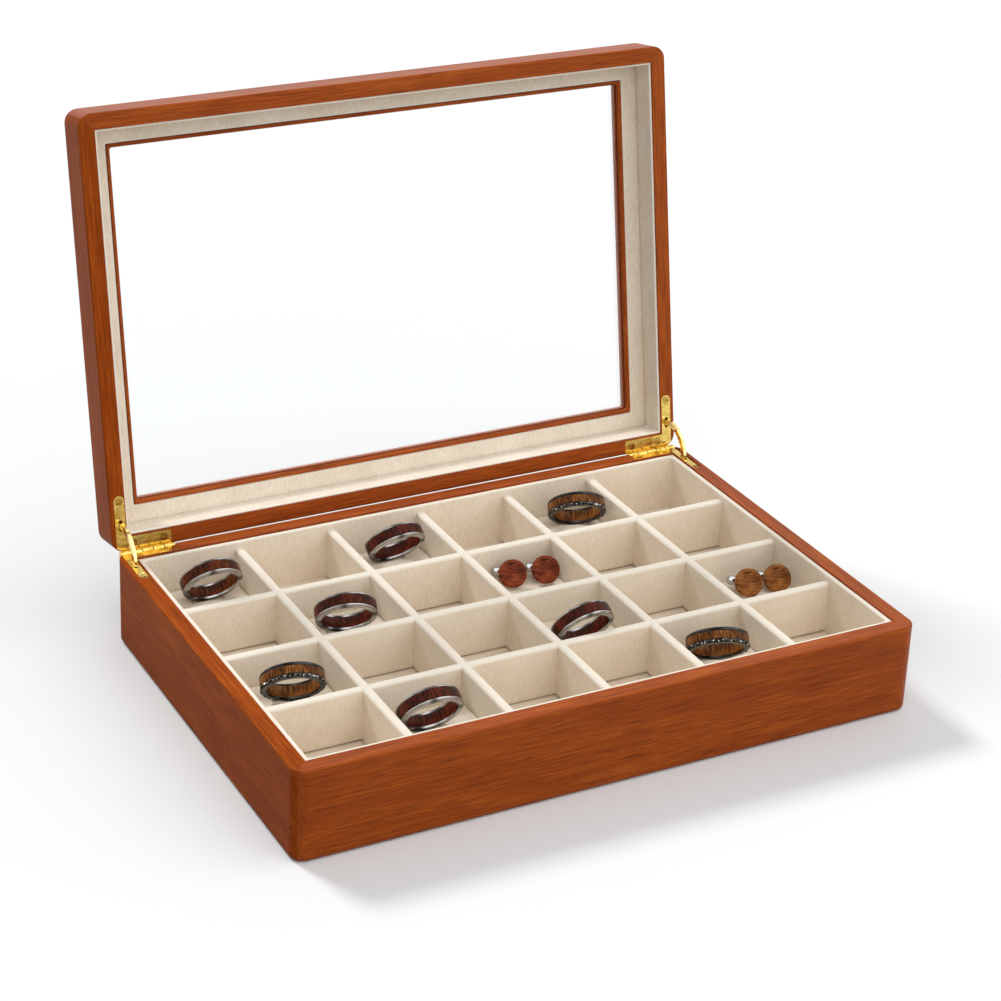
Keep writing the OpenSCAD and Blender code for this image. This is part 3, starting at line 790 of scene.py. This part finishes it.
def padded_board_tree():
    """A board drawn along X from its section, softened, with a row of half-lap slots."""
    g = Growth("padded_board", {
        "Length": "Float", "Slot Pitch": "Float", "Slot Count": "Int", "Slot Width": "Float",
        "Slot Height": "Float", "Slot Middle": "Float", "Slot Rounding": "Float",
        "Softness": "Float", "Seed": "Float", "Cover": "Material",
    })
    given = g.given
    start = g.vector(X=g.math("MULTIPLY", given["Length"], -0.5))
    end = g.vector(X=g.math("MULTIPLY", given["Length"], 0.5))
    line = g.node("CurvePrimitiveLine", None, {"Start": start, "End": end})
    spine = g.node("ResampleCurve", None, {"Curve": line, "Count": BOARD_STEPS})
    section = g.node("MeshToCurve", None, {"Mesh": given["Geometry"]})
    board = g.drawn(spine, section)

    softness = {"W": given["Seed"], "Scale": 120.0, "Detail": 2.0}
    cloud = g.node("ShaderNodeTexNoise", {"noise_dimensions": "4D"}, softness)
    depth = g.math("MULTIPLY", cloud, given["Softness"])
    inward = g.math("MULTIPLY", depth, -1.0)
    normal = g.node("InputNormal")
    shift = g.node("ShaderNodeVectorMath", {"operation": "SCALE"}, {0: normal, "Scale": inward})
    soft = g.node("SetPosition", None, {"Geometry": board, "Offset": shift})

    gaps = g.math("SUBTRACT", given["Slot Count"], 1.0)
    run = g.math("MULTIPLY", gaps, given["Slot Pitch"])
    first = g.vector(X=g.math("MULTIPLY", run, -0.5), Z=given["Slot Middle"])
    step = g.vector(X=given["Slot Pitch"])
    sockets = {"Count": given["Slot Count"], "Start Location": first, "Offset": step}
    points = g.node("MeshLine", None, sockets)

    sockets = {"Width": given["Slot Width"], "Height": given["Slot Height"]}
    outline = g.node("CurvePrimitiveQuadrilateral", {"mode": "RECTANGLE"}, sockets)
    sockets = {"Curve": outline, "Radius": given["Slot Rounding"], "Limit Radius": True, "Count": 7}
    rounded = g.node("FilletCurve", {"mode": "POLY"}, sockets)
    reach = {"Start": (0, -divider_thickness, 0), "End": (0, divider_thickness, 0)}
    across = g.node("CurvePrimitiveLine", None, reach)
    sockets = {"Points": points, "Instance": g.drawn(across, rounded)}
    cutters = g.node("InstanceOnPoints", None, sockets)
    solid = g.node("RealizeInstances", None, {"Geometry": cutters})
    settings = {"operation": "DIFFERENCE", "solver": "EXACT"}
    slotted = g.node("MeshBoolean", settings, {"Mesh 1": soft, "Mesh 2": solid})
    g.covered(slotted, given["Cover"])
    return g


def board_section(name, thickness, bottom, top):
    """A closed loop of edges: full sides, a nearly flat top with rolled edges, a small round foot."""
    half = thickness / 2
    foot = 0.35 * MM
    dome = 0.12 * MM
    profile = arc((half - foot, bottom + foot), foot, -90, 0, 3)
    sides = spaced(bottom + 1.5 * MM, top - BOARD_ROLL - 0.6 * MM, 2 * MM)
    profile += [(half, z) for z in sides]
    shoulder = top - dome - BOARD_ROLL
    profile += arc((half - BOARD_ROLL, shoulder), BOARD_ROLL, 0, 84, 7)
    profile += [(0.35 * half, top - 0.15 * dome), (0, top), (-0.35 * half, top - 0.15 * dome)]
    profile += arc((BOARD_ROLL - half, shoulder), BOARD_ROLL, 96, 180, 7)
    profile += [(-half, z) for z in reversed(sides)]
    profile += arc((-half + foot, bottom + foot), foot, 180, 270, 3)
    mesh = bpy.data.meshes.new(name)
    edges = [(i, (i + 1) % len(profile)) for i in range(len(profile))]
    mesh.from_pydata([(y, -z, 0) for y, z in profile], edges, [])
    return mesh


def make_divider(tree, name, node, material, length, pitch, count, low_slots, place, seed):
    """One divider: column dividers are slotted from below, row dividers from above."""
    if low_slots:
        slot_low, slot_high, rounding = floor_top - 1 * MM, lap_height, 0.05 * MM
    else:
        slot_low, slot_high, rounding = lap_height - divider_fit, divider_top + 0.03 * MM, BOARD_ROLL
    values = {
        "Length": length - 2 * divider_fit,
        "Slot Pitch": pitch,
        "Slot Count": count,
        "Slot Width": divider_thickness + 2 * (divider_fit if low_slots else 0.02 * MM),
        "Slot Height": slot_high - slot_low,
        "Slot Rounding": rounding,
        "Slot Middle": (slot_low + slot_high) / 2,
        "Softness": 0.16 * MM,
        "Seed": seed,
        "Cover": material,
    }
    section = board_section(name, divider_thickness, floor_top, divider_top)
    mesh = tree.grown(name, section, values)
    mesh.transform(place)
    mark_crest(mesh, lambda at: (at.z - divider_top + 0.75 * MM) / (0.4 * MM))
    declare_soft(finished(name, mesh, material, 50), "case", "lining", 1.0, node)


def make_dividers(material):
    """Dividers between all columns and rows, half-lapped where they cross."""
    tree = padded_board_tree()
    for i in range(1, columns):
        place = Matrix.Translation((column_edge(i), 0, 0)) @ Matrix.Rotation(math.pi / 2, 4, "Z")
        make_divider(
            tree, f"padded_column_divider_{i}", f"column_divider_{i}", material,
            lined_depth, row_pitch, rows - 1, True, place, 10.0 + i,
        )
    for j in range(1, rows):
        place = Matrix.Translation((0, row_edge(j), 0))
        make_divider(
            tree, f"padded_row_divider_{j}", f"row_divider_{j}", material,
            lined_width, column_pitch, columns - 1, False, place, 20.0 + j,
        )


# ---- Other padded and lined pieces ----


def make_wall_lining(material):
    """The lining boards round the compartments, in one run with soft inner corners."""
    corner = 1.4 * MM
    half = lining_thickness / 2
    roll = 0.6 * MM

    def at(offset, z):
        radius = corner * (1 - offset / lining_thickness)
        return (lined_width / 2 + offset, lined_depth / 2 + offset, radius, z)

    shoulder = lining_top - roll
    section = [at(0, z) for z in spaced(panel_top, shoulder - 0.5 * MM, 3 * MM)]
    section += [at(o, z) for o, z in arc((roll, shoulder), roll, 180, 96, 6)]
    section += [at(half, lining_top)]
    section += [at(o, z) for o, z in arc((lining_thickness - roll, shoulder), roll, 84, 0, 6)]
    section += [at(lining_thickness, z) for z in (20 * MM, panel_top)]
    mesh = loop_swept("wall_lining", section, 0.14 * MM)
    mark_crest(mesh, lambda p: (p.z - lining_top + 0.6 * MM) / (0.4 * MM))
    nodes = ("lining_front", "lining_back", "lining_left", "lining_right")
    declare_soft(finished("wall_lining", mesh, material, 60), "case", "lining", 1.0, *nodes)


def cell_edge_distance(x, y):
    """Distance from a point to the nearest wall of its compartment, 0 under a divider."""
    column = min(columns - 1, max(0, int((x + lined_width / 2) / column_pitch)))
    row = min(rows - 1, max(0, int((lined_depth / 2 - y) / row_pitch)))
    (left, front), (right, back) = cell_box(column, row)
    return max(0.0, min(x - left, right - x, y - front, back - y))


def make_floor_lining(material):
    """The padded floor, a little crowned in each compartment and sunk along the dividers."""
    sink = 0.5 * MM
    roll = 1.3 * MM

    def top_at(x, y):
        edge = math.exp(-((cell_edge_distance(x, y) / roll) ** 2))
        return floor_top - sink * edge - 0.12 * MM * soft_noise((x, y, 0), 11 * MM)

    low, high = (-lined_width / 2, -lined_depth / 2), (lined_width / 2, lined_depth / 2)
    mesh = height_slab("padded_floor", low, high, panel_top, top_at, 1.1 * MM, 0)
    declare_soft(finished("padded_floor", mesh, material), "case", "lining", 0.9, "floor_pad")


def ring_centre(ring):
    """The middle of a ring whose low edge stands in its pad's slit."""
    angle = math.radians(ring.lean)
    drop = max(
        (ring_radius - bevel) * math.cos(angle) + ring_half_width * math.sin(angle),
        ring_radius * math.cos(angle) + (ring_half_width - bevel) * math.sin(angle),
    )
    return Vector((*in_cell(ring), display_top - ring_sink + drop))


def slit_depth(ring, x, y):
    """How far the pad's top is pressed in at a point, where the ring's low edge stands in it."""
    lean, turn = math.radians(ring.lean), math.radians(ring.turn)
    deepest = ring_sink + 0.3 * MM
    centre = ring_centre(ring)
    dx, dy = x - centre.x, y - centre.y
    along = dx * math.cos(turn) + dy * math.sin(turn)
    across = dy * math.cos(turn) - dx * math.sin(turn)
    half_length = math.sqrt(2 * ring_radius * deepest / math.cos(lean)) + 0.3 * MM
    edge = ring_radius * math.sin(lean) - ring_half_width * math.cos(lean)
    ahead = deepest * math.tan(lean) + 0.3 * MM
    behind = deepest / math.tan(lean) + 0.3 * MM
    lip = 0.5 * MM
    outside = max(abs(along) - half_length, edge - ahead - across, across - edge - behind)
    share = min(1.0, max(0.0, (lip - outside) / lip))
    return deepest * share * share * (3 - 2 * share)


def display_pad(column, row, rings):
    """A raised pad with rolled edges, pressed in where a ring stands."""
    roll = 1.2 * MM
    (left, front), (right, back) = cell_box(column, row)
    low, high = (left + pad_fit, front + pad_fit), (right - pad_fit, back - pad_fit)

    def top_at(x, y):
        inside = min(x - low[0], high[0] - x, y - low[1], high[1] - y)
        d = max(0.0, roll - inside)
        rolled = roll - math.sqrt(max(0.0, roll * roll - d * d))
        u = (x - (low[0] + high[0]) / 2) / (high[0] - low[0])
        v = (y - (low[1] + high[1]) / 2) / (high[1] - low[1])
        crown = 0.5 * MM * (u * u + v * v)
        cloth = 0.1 * MM * soft_noise((x, y, 0), 7 * MM, column + row)
        pressed = max([slit_depth(r, x, y) for r in rings], default=0.0)
        return display_top - min(rolled, roll * 0.8) - crown - cloth - pressed

    return height_slab("pad", low, high, floor_top, top_at, 0.5 * MM, 0.3 * MM)


def make_display_pads(material):
    pads = {(ring.column, ring.row): [ring] for ring in RINGS}
    pads.update({(stud.column, stud.row): [] for stud in STUDS})
    mesh = joined("raised_pads", [display_pad(*cell, rings) for cell, rings in pads.items()])
    piece = finished("raised_pads", mesh, material, 50)
    declare_soft(piece, "case", "lining", 0.95, "display_pads")


def make_lid_strips(material):
    """The strips round the inside of the lid's rails."""
    thick = lid_lining_thickness
    half = thick / 2

    def strip(offset, z):
        return (inner_width / 2 - thick + offset, inner_depth / 2 - thick + offset, 0.3 * MM, z)

    section = [strip(half + o, z) for o, z in arc((0, lid_lining_bottom + half), half, 0, -180, 8)]
    top = holding_bottom - lid_strip_gap
    section += [strip(0, z) for z in spaced(lid_lining_bottom + 1 * MM, top - 0.1 * MM, 2 * MM)]
    section += [strip(0.06 * MM, top - 0.02 * MM), strip(0.14 * MM, top), strip(thick, top)]
    mesh = loop_swept("lid_strips", section, 0.08 * MM)
    mark_crest(mesh, lambda p: (lid_lining_bottom + 0.6 * MM - p.z) / (0.4 * MM))
    piece = finished("lid_strips", opened(mesh), material, 60)
    declare_soft(piece, "lid", "lining", 1.0, "lid_lining_walls")


def make_lid_panel(material):
    """The covered panel that holds the glass, dished between its rolled edge and the strips."""
    edge = (holding_top - holding_bottom) / 2
    opening = (panel_opening[0] / 2, panel_opening[1] / 2)

    def panel(share, z, inset=0.0):
        width = opening[0] + inset
        depth = opening[1] + inset
        radius = panel_opening_radius + inset
        return (
            width + (glass_size[0] / 2 - width) * share,
            depth + (glass_size[1] / 2 - depth) * share,
            radius * (1 - share),
            z,
        )

    rolled = arc((0, holding_bottom + edge), edge, 90, 270, 8)
    section = [panel(0, z, edge + o) for o, z in rolled]
    dish = 0.12 * MM
    for share in (0.1, 0.25, 0.45, 0.7):
        section.append(panel(share, holding_bottom + dish * 4 * share * (1 - share), edge))
    section += [panel(1, holding_bottom), panel(1, holding_top)]
    mesh = loop_swept("lid_panel_cover", section)
    mark_crest(mesh, lambda p: 1 - (max(abs(p.x) - opening[0], abs(p.y) - opening[1]) / (0.7 * MM)))
    piece = finished("lid_panel_cover", opened(mesh), material, 60)
    declare_soft(piece, "lid", "lining", 1.0, "lid_lining_panel")


def make_felt(material):
    """The felt under the case."""

    def top_at(x, y):
        return felt_thickness - 0.05 * MM * soft_noise((x, y, 0), 6 * MM)

    low = (-felt_size[0] / 2, -felt_size[1] / 2)
    high = (felt_size[0] / 2, felt_size[1] / 2)
    mesh = height_slab("foot_felt", low, high, 0, top_at, 3 * MM, 0.3 * MM)
    declare_soft(finished("foot_felt", mesh, material), "case", "felt", 1.0, "base_felt")


# ---- Rings and studs ----


def revolved(name, profile, segments=112):
    """A closed profile of (radius, height) turned about Z, keeping its own coordinates."""
    rings = [
        [(r * math.cos(a), r * math.sin(a), z) for r, z in profile]
        for a in (2 * math.pi * i / segments for i in range(segments))
    ]
    return skin(name, rings)


def keep_place(mesh):
    """Stores the piece's own coordinates, in millimetres, before it goes to its place."""
    store = mesh.attributes.new("own_place", "FLOAT_VECTOR", "POINT")
    for vertex, item in zip(mesh.vertices, store.data):
        item.vector = vertex.co / MM
    return mesh


def ring_matrix(ring):
    """Takes a ring from its own axis to where it leans in its compartment."""
    turn = Matrix.Rotation(math.radians(ring.turn), 4, "Z")
    lean = Matrix.Rotation(math.radians(90 + ring.lean), 4, "X")
    return Matrix.Translation(ring_centre(ring)) @ turn @ lean


def band_profile(rim, inlay):
    """Half of the band's section, from the inlay's seat round the edge to the sleeve's seat."""
    soft = 0.12 * MM
    half = ring_half_width
    return [
        (rim - inlay_depth, inlay), (rim - 0.16 * MM, inlay), (rim, inlay + 0.14 * MM),
        (rim, half - bevel), (rim - 0.08 * MM, half - bevel + 0.12 * MM),
        (rim - bevel + 0.08 * MM, half - 0.1 * MM), (rim - bevel - 0.05 * MM, half),
        (ring_bore + soft, half), (ring_bore, half - soft),
        (ring_bore, sleeve_half), (ring_bore + sleeve_thickness, sleeve_half),
    ]


def hammered_edge_tree():
    """Small beaten facets set round a band's front edge."""
    g = Growth("hammered_edge", {
        "Radius": "Float", "Edge Height": "Float", "Count": "Int", "Facet": "Float",
        "Seed": "Int", "Metal": "Material",
    })
    given = g.given
    sockets = {"Vertices": given["Count"], "Radius": given["Radius"]}
    circle = g.node("MeshCircle", None, sockets)
    front = g.vector(Z=given["Edge Height"])
    edge = g.node("Transform", None, {"Geometry": circle, "Translation": front})

    outwards = {"Vector": g.node("InputPosition")}
    facing = g.node("FunctionNodeAlignRotationToVector", {"axis": "X"}, outwards)
    sockets = {0: (-0.4, -0.4, -0.4), 1: (0.4, 0.4, 0.4), "Seed": given["Seed"]}
    jitter = g.node("FunctionNodeRandomValue", {"data_type": "FLOAT_VECTOR"}, sockets)
    tilt = g.node("FunctionNodeEulerToRotation", None, {"Euler": jitter})
    sockets = {"Rotation": facing, "Rotate By": tilt}
    spin = g.node("FunctionNodeRotateRotation", {"rotation_space": "LOCAL"}, sockets)
    sockets = {2: 0.7, 3: 1.25, "Seed": given["Seed"]}
    size = g.node("FunctionNodeRandomValue", {"data_type": "FLOAT"}, sockets, 1)

    facet = g.node("MeshIcoSphere", None, {"Radius": given["Facet"], "Subdivisions": 1})
    squat = g.node("Transform", None, {"Geometry": facet, "Scale": (0.42, 1.0, 0.8)})
    sockets = {"Points": edge, "Instance": squat, "Rotation": spin, "Scale": size}
    g.covered(g.node("InstanceOnPoints", None, sockets), given["Metal"])
    return g


def placed_piece(name, mesh, place, material, sharp):
    """A finished ring or stud piece, made about its own axis and then put in its place."""
    keep_place(mesh)
    mesh.transform(place)
    return finished(name, mesh, material, sharp)


def make_band(body, rim, inlay_edge, place, metal, slot_name):
    """The metal band, with seats for the wood outside and inside."""
    side = band_profile(rim, inlay_edge)
    mesh = revolved(f"{body}_metal", side + [(r, -z) for r, z in reversed(side)])
    piece = placed_piece(f"{body}_metal", mesh, place, metal, 28)
    declare(piece, body, slot_name, f"{body}_band")


def make_ring_wood(body, rim, inlay_edge, place, wood, slot_name):
    """The wooden inlay outside and the thin wooden sleeve inside."""
    crown = 0.04 * MM
    wide = inlay_edge - 0.10 * MM
    seat = rim - inlay_depth + 0.01 * MM
    inlay = [(seat, -wide), (rim - 0.08 * MM, -wide), (rim - crown, -wide + 0.08 * MM)]
    inlay += [(rim - crown * 0.2, z) for z in (-0.8 * MM, 0, 0.8 * MM)]
    inlay += [(rim - crown, wide - 0.08 * MM), (rim - 0.08 * MM, wide), (seat, wide)]
    deep = ring_bore + sleeve_thickness - 0.01 * MM
    wide = sleeve_half - 0.04 * MM
    sleeve = [(deep, wide), (ring_bore + 0.05 * MM, wide), (ring_bore, wide - 0.1 * MM)]
    sleeve += [(ring_bore, -wide + 0.1 * MM), (ring_bore + 0.05 * MM, -wide), (deep, -wide)]
    mesh = joined(f"{body}_inlay", [revolved("part", part) for part in (inlay, sleeve)])
    piece = placed_piece(f"{body}_inlay", mesh, place, wood, 35)
    declare(piece, body, slot_name, f"{body}_wood")


def make_beaten_edge(tree, body, seed, rim, place, metal, slot_name):
    """The facets on a black ring's front edge."""
    values = {
        "Radius": rim - 0.10 * MM,
        "Edge Height": ring_half_width - 0.60 * MM,
        "Count": facets_round,
        "Facet": facet_size,
        "Seed": seed,
        "Metal": metal,
    }
    mesh = tree.grown(f"{body}_hammered_edge", bpy.data.meshes.new("none"), values)
    piece = placed_piece(f"{body}_hammered_edge", mesh, place, metal, 10)
    declare(piece, body, slot_name)


def make_ring(number, ring, metals, woods, tree):
    body = f"ring_{number}"
    black = ring.metal == "black"
    rim = ring_radius - (black_ring_trim if black else 0)
    inlay_edge = narrow_inlay_half if black else inlay_half
    metal_slot = "ring_black_steel" if black else "ring_steel"
    wood_slot = "ring_light_wood" if ring.wood == "light" else "ring_dark_wood"
    place = ring_matrix(ring)
    make_band(body, rim, inlay_edge, place, metals[ring.metal], metal_slot)
    make_ring_wood(body, rim, inlay_edge, place, woods[ring.wood], wood_slot)
    if black:
        make_beaten_edge(tree, body, number, rim, place, metals["beaten"], metal_slot)


def stud_tilt():
    """The tilt at which the face's edge and the bar's low end both reach the pad."""
    arm = stud_reach - stud_face_thickness
    rest = stud_bar_radius * math.cos(stud_bar_roll) + stud_bar_right * math.sin(stud_bar_roll)
    return math.acos(rest / math.hypot(stud_radius, arm)) - math.atan2(arm, stud_radius)


def stud_matrix(stud):
    """Takes a stud from its own axis to where it rests on its face's edge and its bar."""
    tilt = stud_tilt()
    rise = stud_face_thickness * math.sin(tilt) + stud_radius * math.cos(tilt) + stud_gap
    turn = Matrix.Rotation(stud_turn, 4, "Z")
    lean = Matrix.Rotation(math.pi / 2 - tilt, 4, "X")
    return Matrix.Translation((*in_cell(stud), display_top + rise)) @ turn @ lean


def make_stud_disc(body, place, wood):
    """The round wooden face, with a rolled front edge."""
    r, t = stud_radius, stud_face_thickness
    profile = [(0, 0), (r * 0.5, 0), (r - 0.5 * MM, -0.01 * MM), (r - 0.3 * MM, -0.06 * MM)]
    profile += [(r - 0.12 * MM, -0.18 * MM), (r, -0.4 * MM), (r, -t + 0.25 * MM)]
    profile += [(r - 0.25 * MM, -t), (0, -t)]
    piece = placed_piece(f"{body}_disc", revolved(f"{body}_disc", profile, 72), place, wood, 35)
    declare(piece, body, "stud_wood", f"{body}_face")


def make_stud_toggle(body, place, metal):
    """The post behind the face and the bar across its end, with a groove on each side of the post."""
    t, reach = stud_face_thickness, stud_reach
    left, right = -stud_bar_left, stud_bar_right
    post = [(0, -t), (1.5 * MM, -t), (1.3 * MM, -t - 0.3 * MM), (0.7 * MM, -t - 0.7 * MM)]
    post += [(0.6 * MM, -t - 1.2 * MM), (0.6 * MM, -reach), (0, -reach)]
    ends = [(left, 0.0), (left, 0.62), (left + 0.2 * MM, 0.82), (left + 0.7 * MM, 0.94)]
    ends += [(-4.3 * MM, 1.0), (-4.1 * MM, 0.8), (-3.7 * MM, 0.8), (-3.5 * MM, 1.0)]
    ends += [(-1.5 * MM, 1.0), (-1.3 * MM, 0.8), (0.9 * MM, 0.8), (1.1 * MM, 1.0)]
    ends += [(right - 0.5 * MM, 0.96), (right - 0.15 * MM, 0.8), (right, 0.6), (right, 0.0)]
    bar = revolved("bar", [(stud_bar_radius * share, x) for x, share in ends], 56)
    bar.transform(Matrix.Rotation(math.pi / 2, 4, "Y"))
    bar.transform(Matrix.Translation((0, 0, -reach)) @ Matrix.Rotation(-stud_bar_roll, 4, "Z"))
    mesh = joined(f"{body}_toggle", [revolved("post", post, 40), bar])
    piece = placed_piece(f"{body}_toggle", mesh, place, metal, 30)
    declare(piece, body, "stud_steel", f"{body}_back")


# ---- Rigid parts that keep their own shape ----


def give(node, material):
    """A carried-over part's own shape with a finished material."""
    piece = frame["nodes"][node]
    piece.data.materials.clear()
    piece.data.materials.append(material)


def make_window_bead(material):
    """A thin quarter-round of wood that edges the window beside the covered panel."""
    inner = (window_size[0] / 2 + 0.02 * MM, window_size[1] / 2 + 0.02 * MM)
    wide = (panel_opening[0] - window_size[0]) / 2 - 0.18 * MM
    top, foot = holding_top - 0.03 * MM, holding_bottom - 0.35 * MM

    def bead(across, z):
        return (inner[0] + across, inner[1] + across, window_radius, z)

    section = [bead(0, top)]
    section += [bead(o, z) for o, z in arc((wide * 0.9, foot + wide * 0.9), wide * 0.9, 180, 270, 8)]
    section += [bead(wide, foot + 0.06 * MM), bead(wide, top)]
    mesh = opened(loop_swept("window_bead", section))
    declare(finished("window_bead", mesh, material, 50), "lid", "case_wood")


def finish_rails():
    """Each rail's own wood, its grain along the rail; the left ones get almost no gloss, which darkens
    the left side as painted shade.
    """
    quarter = Matrix.Rotation(math.pi / 2, 3, "Z")
    lid_turn = Matrix.Rotation(-open_angle, 3, "X")
    straight = Matrix.Identity(3)
    rails = [
        ("base_front_rail", straight, 0, WOOD_GLOSS),
        ("base_back_rail", straight, 310, WOOD_GLOSS),
        # The left rails' low gloss is painted shade on the left side
        ("base_left_rail", quarter, 620, 0.02),
        ("base_right_rail", quarter, 930, WOOD_GLOSS),
        ("lid_front_rail", lid_turn, 1240, WOOD_GLOSS),
        ("lid_back_rail", lid_turn, 1550, WOOD_GLOSS),
        ("lid_left_rail", lid_turn @ quarter, 1860, 0.03),
        ("lid_right_rail", lid_turn @ quarter, 2170, WOOD_GLOSS),
    ]
    for node, turn, seed, gloss in rails:
        give(node, lacquered_wood(f"{node}_wood", turn.to_euler(), seed, gloss))
    make_window_bead(lacquered_wood("bead_wood", lid_turn.to_euler(), 2800))
    give("base_bottom_panel", lacquered_wood("panel_wood", (0, 0, 0), 2500))


def make_knuckle_joints(material):
    """Dark rings of painted shade in the joints between the knuckles of both hinge barrels."""
    outer, half = barrel_radius + 0.02 * MM, knuckle_joint_half
    section = [(knuckle_joint_bore, -half), (outer, -half), (outer, half), (knuckle_joint_bore, half)]
    pitch = (barrel_length + knuckle_gap) / knuckles
    along_x = Matrix.Rotation(math.pi / 2, 4, "Y")
    joints = []
    for number in range(1, knuckles):
        for side in (1, -1):
            x = side * (barrel_outer - number * pitch + knuckle_gap / 2)
            joints.append(revolved("joint", section, 40))
            joints[-1].transform(Matrix.Translation((x, hinge_axis.y, hinge_axis.z)) @ along_x)
    piece = finished("knuckle_joints", joined("knuckle_joints", joints), material, 30)
    declare(piece, "case", "brass")


def screw_rims(name, row, level, turn):
    """Dark rings of painted shade round the screw heads in one pair of leaves."""
    rings = ((screw_rim_inner, screw_rim_top), (screw_rim_outer, screw_rim_top))
    rings += ((screw_rim_outer, screw_rim_foot), (screw_rim_inner, screw_rim_foot))
    rims = []
    for x, y in (*((column, row) for column in screw_columns), arm_screw):
        for side in (1, -1):
            rims.append(revolved("rim", rings, 40))
            rims[-1].transform(Matrix.Translation((side * x, y, level)) @ turn)
    return joined(name, rims)


def make_screw_rims(material):
    """The rings of painted shade round the screws in the base's leaves and in the lid's."""
    upwards, downwards = Matrix.Identity(4), Matrix.Rotation(math.pi, 4, "X")
    base = screw_rims("base_screw_rims", base_screw_row, base_leaf_top, upwards)
    declare(finished("base_screw_rims", base, material, 30), "case", "brass")
    lid = opened(screw_rims("lid_screw_rims", lid_screw_row, lid_rim, downwards))
    declare(finished("lid_screw_rims", lid, material, 30), "lid", "brass")


def finish_hinges():
    """Brass for the hinges, brighter on stays and pins and darker on the screws."""
    leaves = brass("leaf_brass", srgb(204, 168, 78), srgb(246, 216, 126), 0.20)
    heads = brass("screw_brass", srgb(150, 112, 48), srgb(222, 184, 96), 0.18)
    bright = brass("bright_brass", srgb(236, 204, 116), srgb(252, 232, 164), 0.13)
    # Painted shade: a dark brass for the rings round the screw heads and in the knuckle joints
    shaded = brass("shaded_brass", srgb(74, 52, 22), srgb(100, 74, 34), 0.45)
    make_screw_rims(shaded)
    make_knuckle_joints(shaded)
    for side in ("left", "right"):
        give(f"hinge_base_leaf_{side}", leaves)
        give(f"hinge_lid_leaf_{side}", leaves)
        give(f"stay_{side}", bright)
    give("hinge_pins", bright)
    for node in ("base_hinge_screws", "lid_hinge_screws"):
        give(node, heads)


def make_stage():
    make_camera()
    make_world()
    make_floor()
    make_sun("key", *KEY_LIGHT)
    make_sun("fill", *FILL_LIGHT)


def make_soft_pieces():
    """All lined and padded pieces, and the felt."""
    # The last colour given to each suede is its painted highlight on edge crests
    lining = suede("beige_suede", srgb(244, 232, 214), srgb(224, 209, 188), srgb(238, 229, 214))
    make_dividers(lining)
    make_wall_lining(lining)
    make_floor_lining(lining)
    make_display_pads(lining)
    pale = suede("pale_suede", srgb(247, 237, 221), srgb(222, 208, 187), srgb(250, 243, 231))
    make_lid_strips(pale)
    make_lid_panel(pale)
    make_felt(dark_felt("foot_felt"))


def make_rings():
    """The eight finger rings."""
    metals = {
        # Each steel's dark and light colours are painted reflection; the beaten steel's light colour is
        # its painted glints
        "bright": steel("bright_steel", srgb(40, 40, 42), srgb(176, 175, 174), 0.12),
        "black": steel("black_steel", srgb(18, 18, 19), srgb(68, 67, 66), 0.20),
        "beaten": beaten_steel("beaten_steel", srgb(22, 22, 23), srgb(190, 188, 185), 0.14),
    }
    brown = (srgb(26, 9, 5), srgb(78, 34, 17), srgb(134, 66, 32))
    red = (srgb(20, 7, 5), srgb(66, 23, 17), srgb(120, 48, 34))
    light = (srgb(40, 20, 8), srgb(108, 62, 28), srgb(170, 112, 58))
    woods = {
        "brown": inlay_wood("brown_inlay", *brown, 0.5),
        "red": inlay_wood("red_inlay", *red, 0.45),
        "light": inlay_wood("light_inlay", *light, 0.5),
    }
    tree = hammered_edge_tree()
    for number, ring in enumerate(RINGS, 1):
        make_ring(number, ring, metals, woods, tree)


def make_studs():
    """The four studs."""
    red = (srgb(44, 15, 8), srgb(116, 48, 28), srgb(158, 80, 50))
    brown = (srgb(66, 34, 12), srgb(134, 80, 38), srgb(180, 120, 64))
    woods = {
        "red": inlay_wood("red_disc", *red, 0.6, 0),
        "brown": inlay_wood("brown_disc", *brown, 0.5, 0),
    }
    # Chrome's dark and light colours are painted reflection
    chrome = steel("chrome", srgb(56, 57, 59), srgb(186, 187, 189), 0.08)
    for number, stud in enumerate(STUDS, 1):
        body, place = f"stud_{number}", stud_matrix(stud)
        make_stud_disc(body, place, woods[stud.wood])
        make_stud_toggle(body, place, chrome)


make_stage()
make_soft_pieces()
finish_rails()
finish_hinges()
give("lid_glass", clear_glass("clear_glass"))
make_rings()
make_studs()
bpy.context.scene.view_settings.view_transform = "Standard"
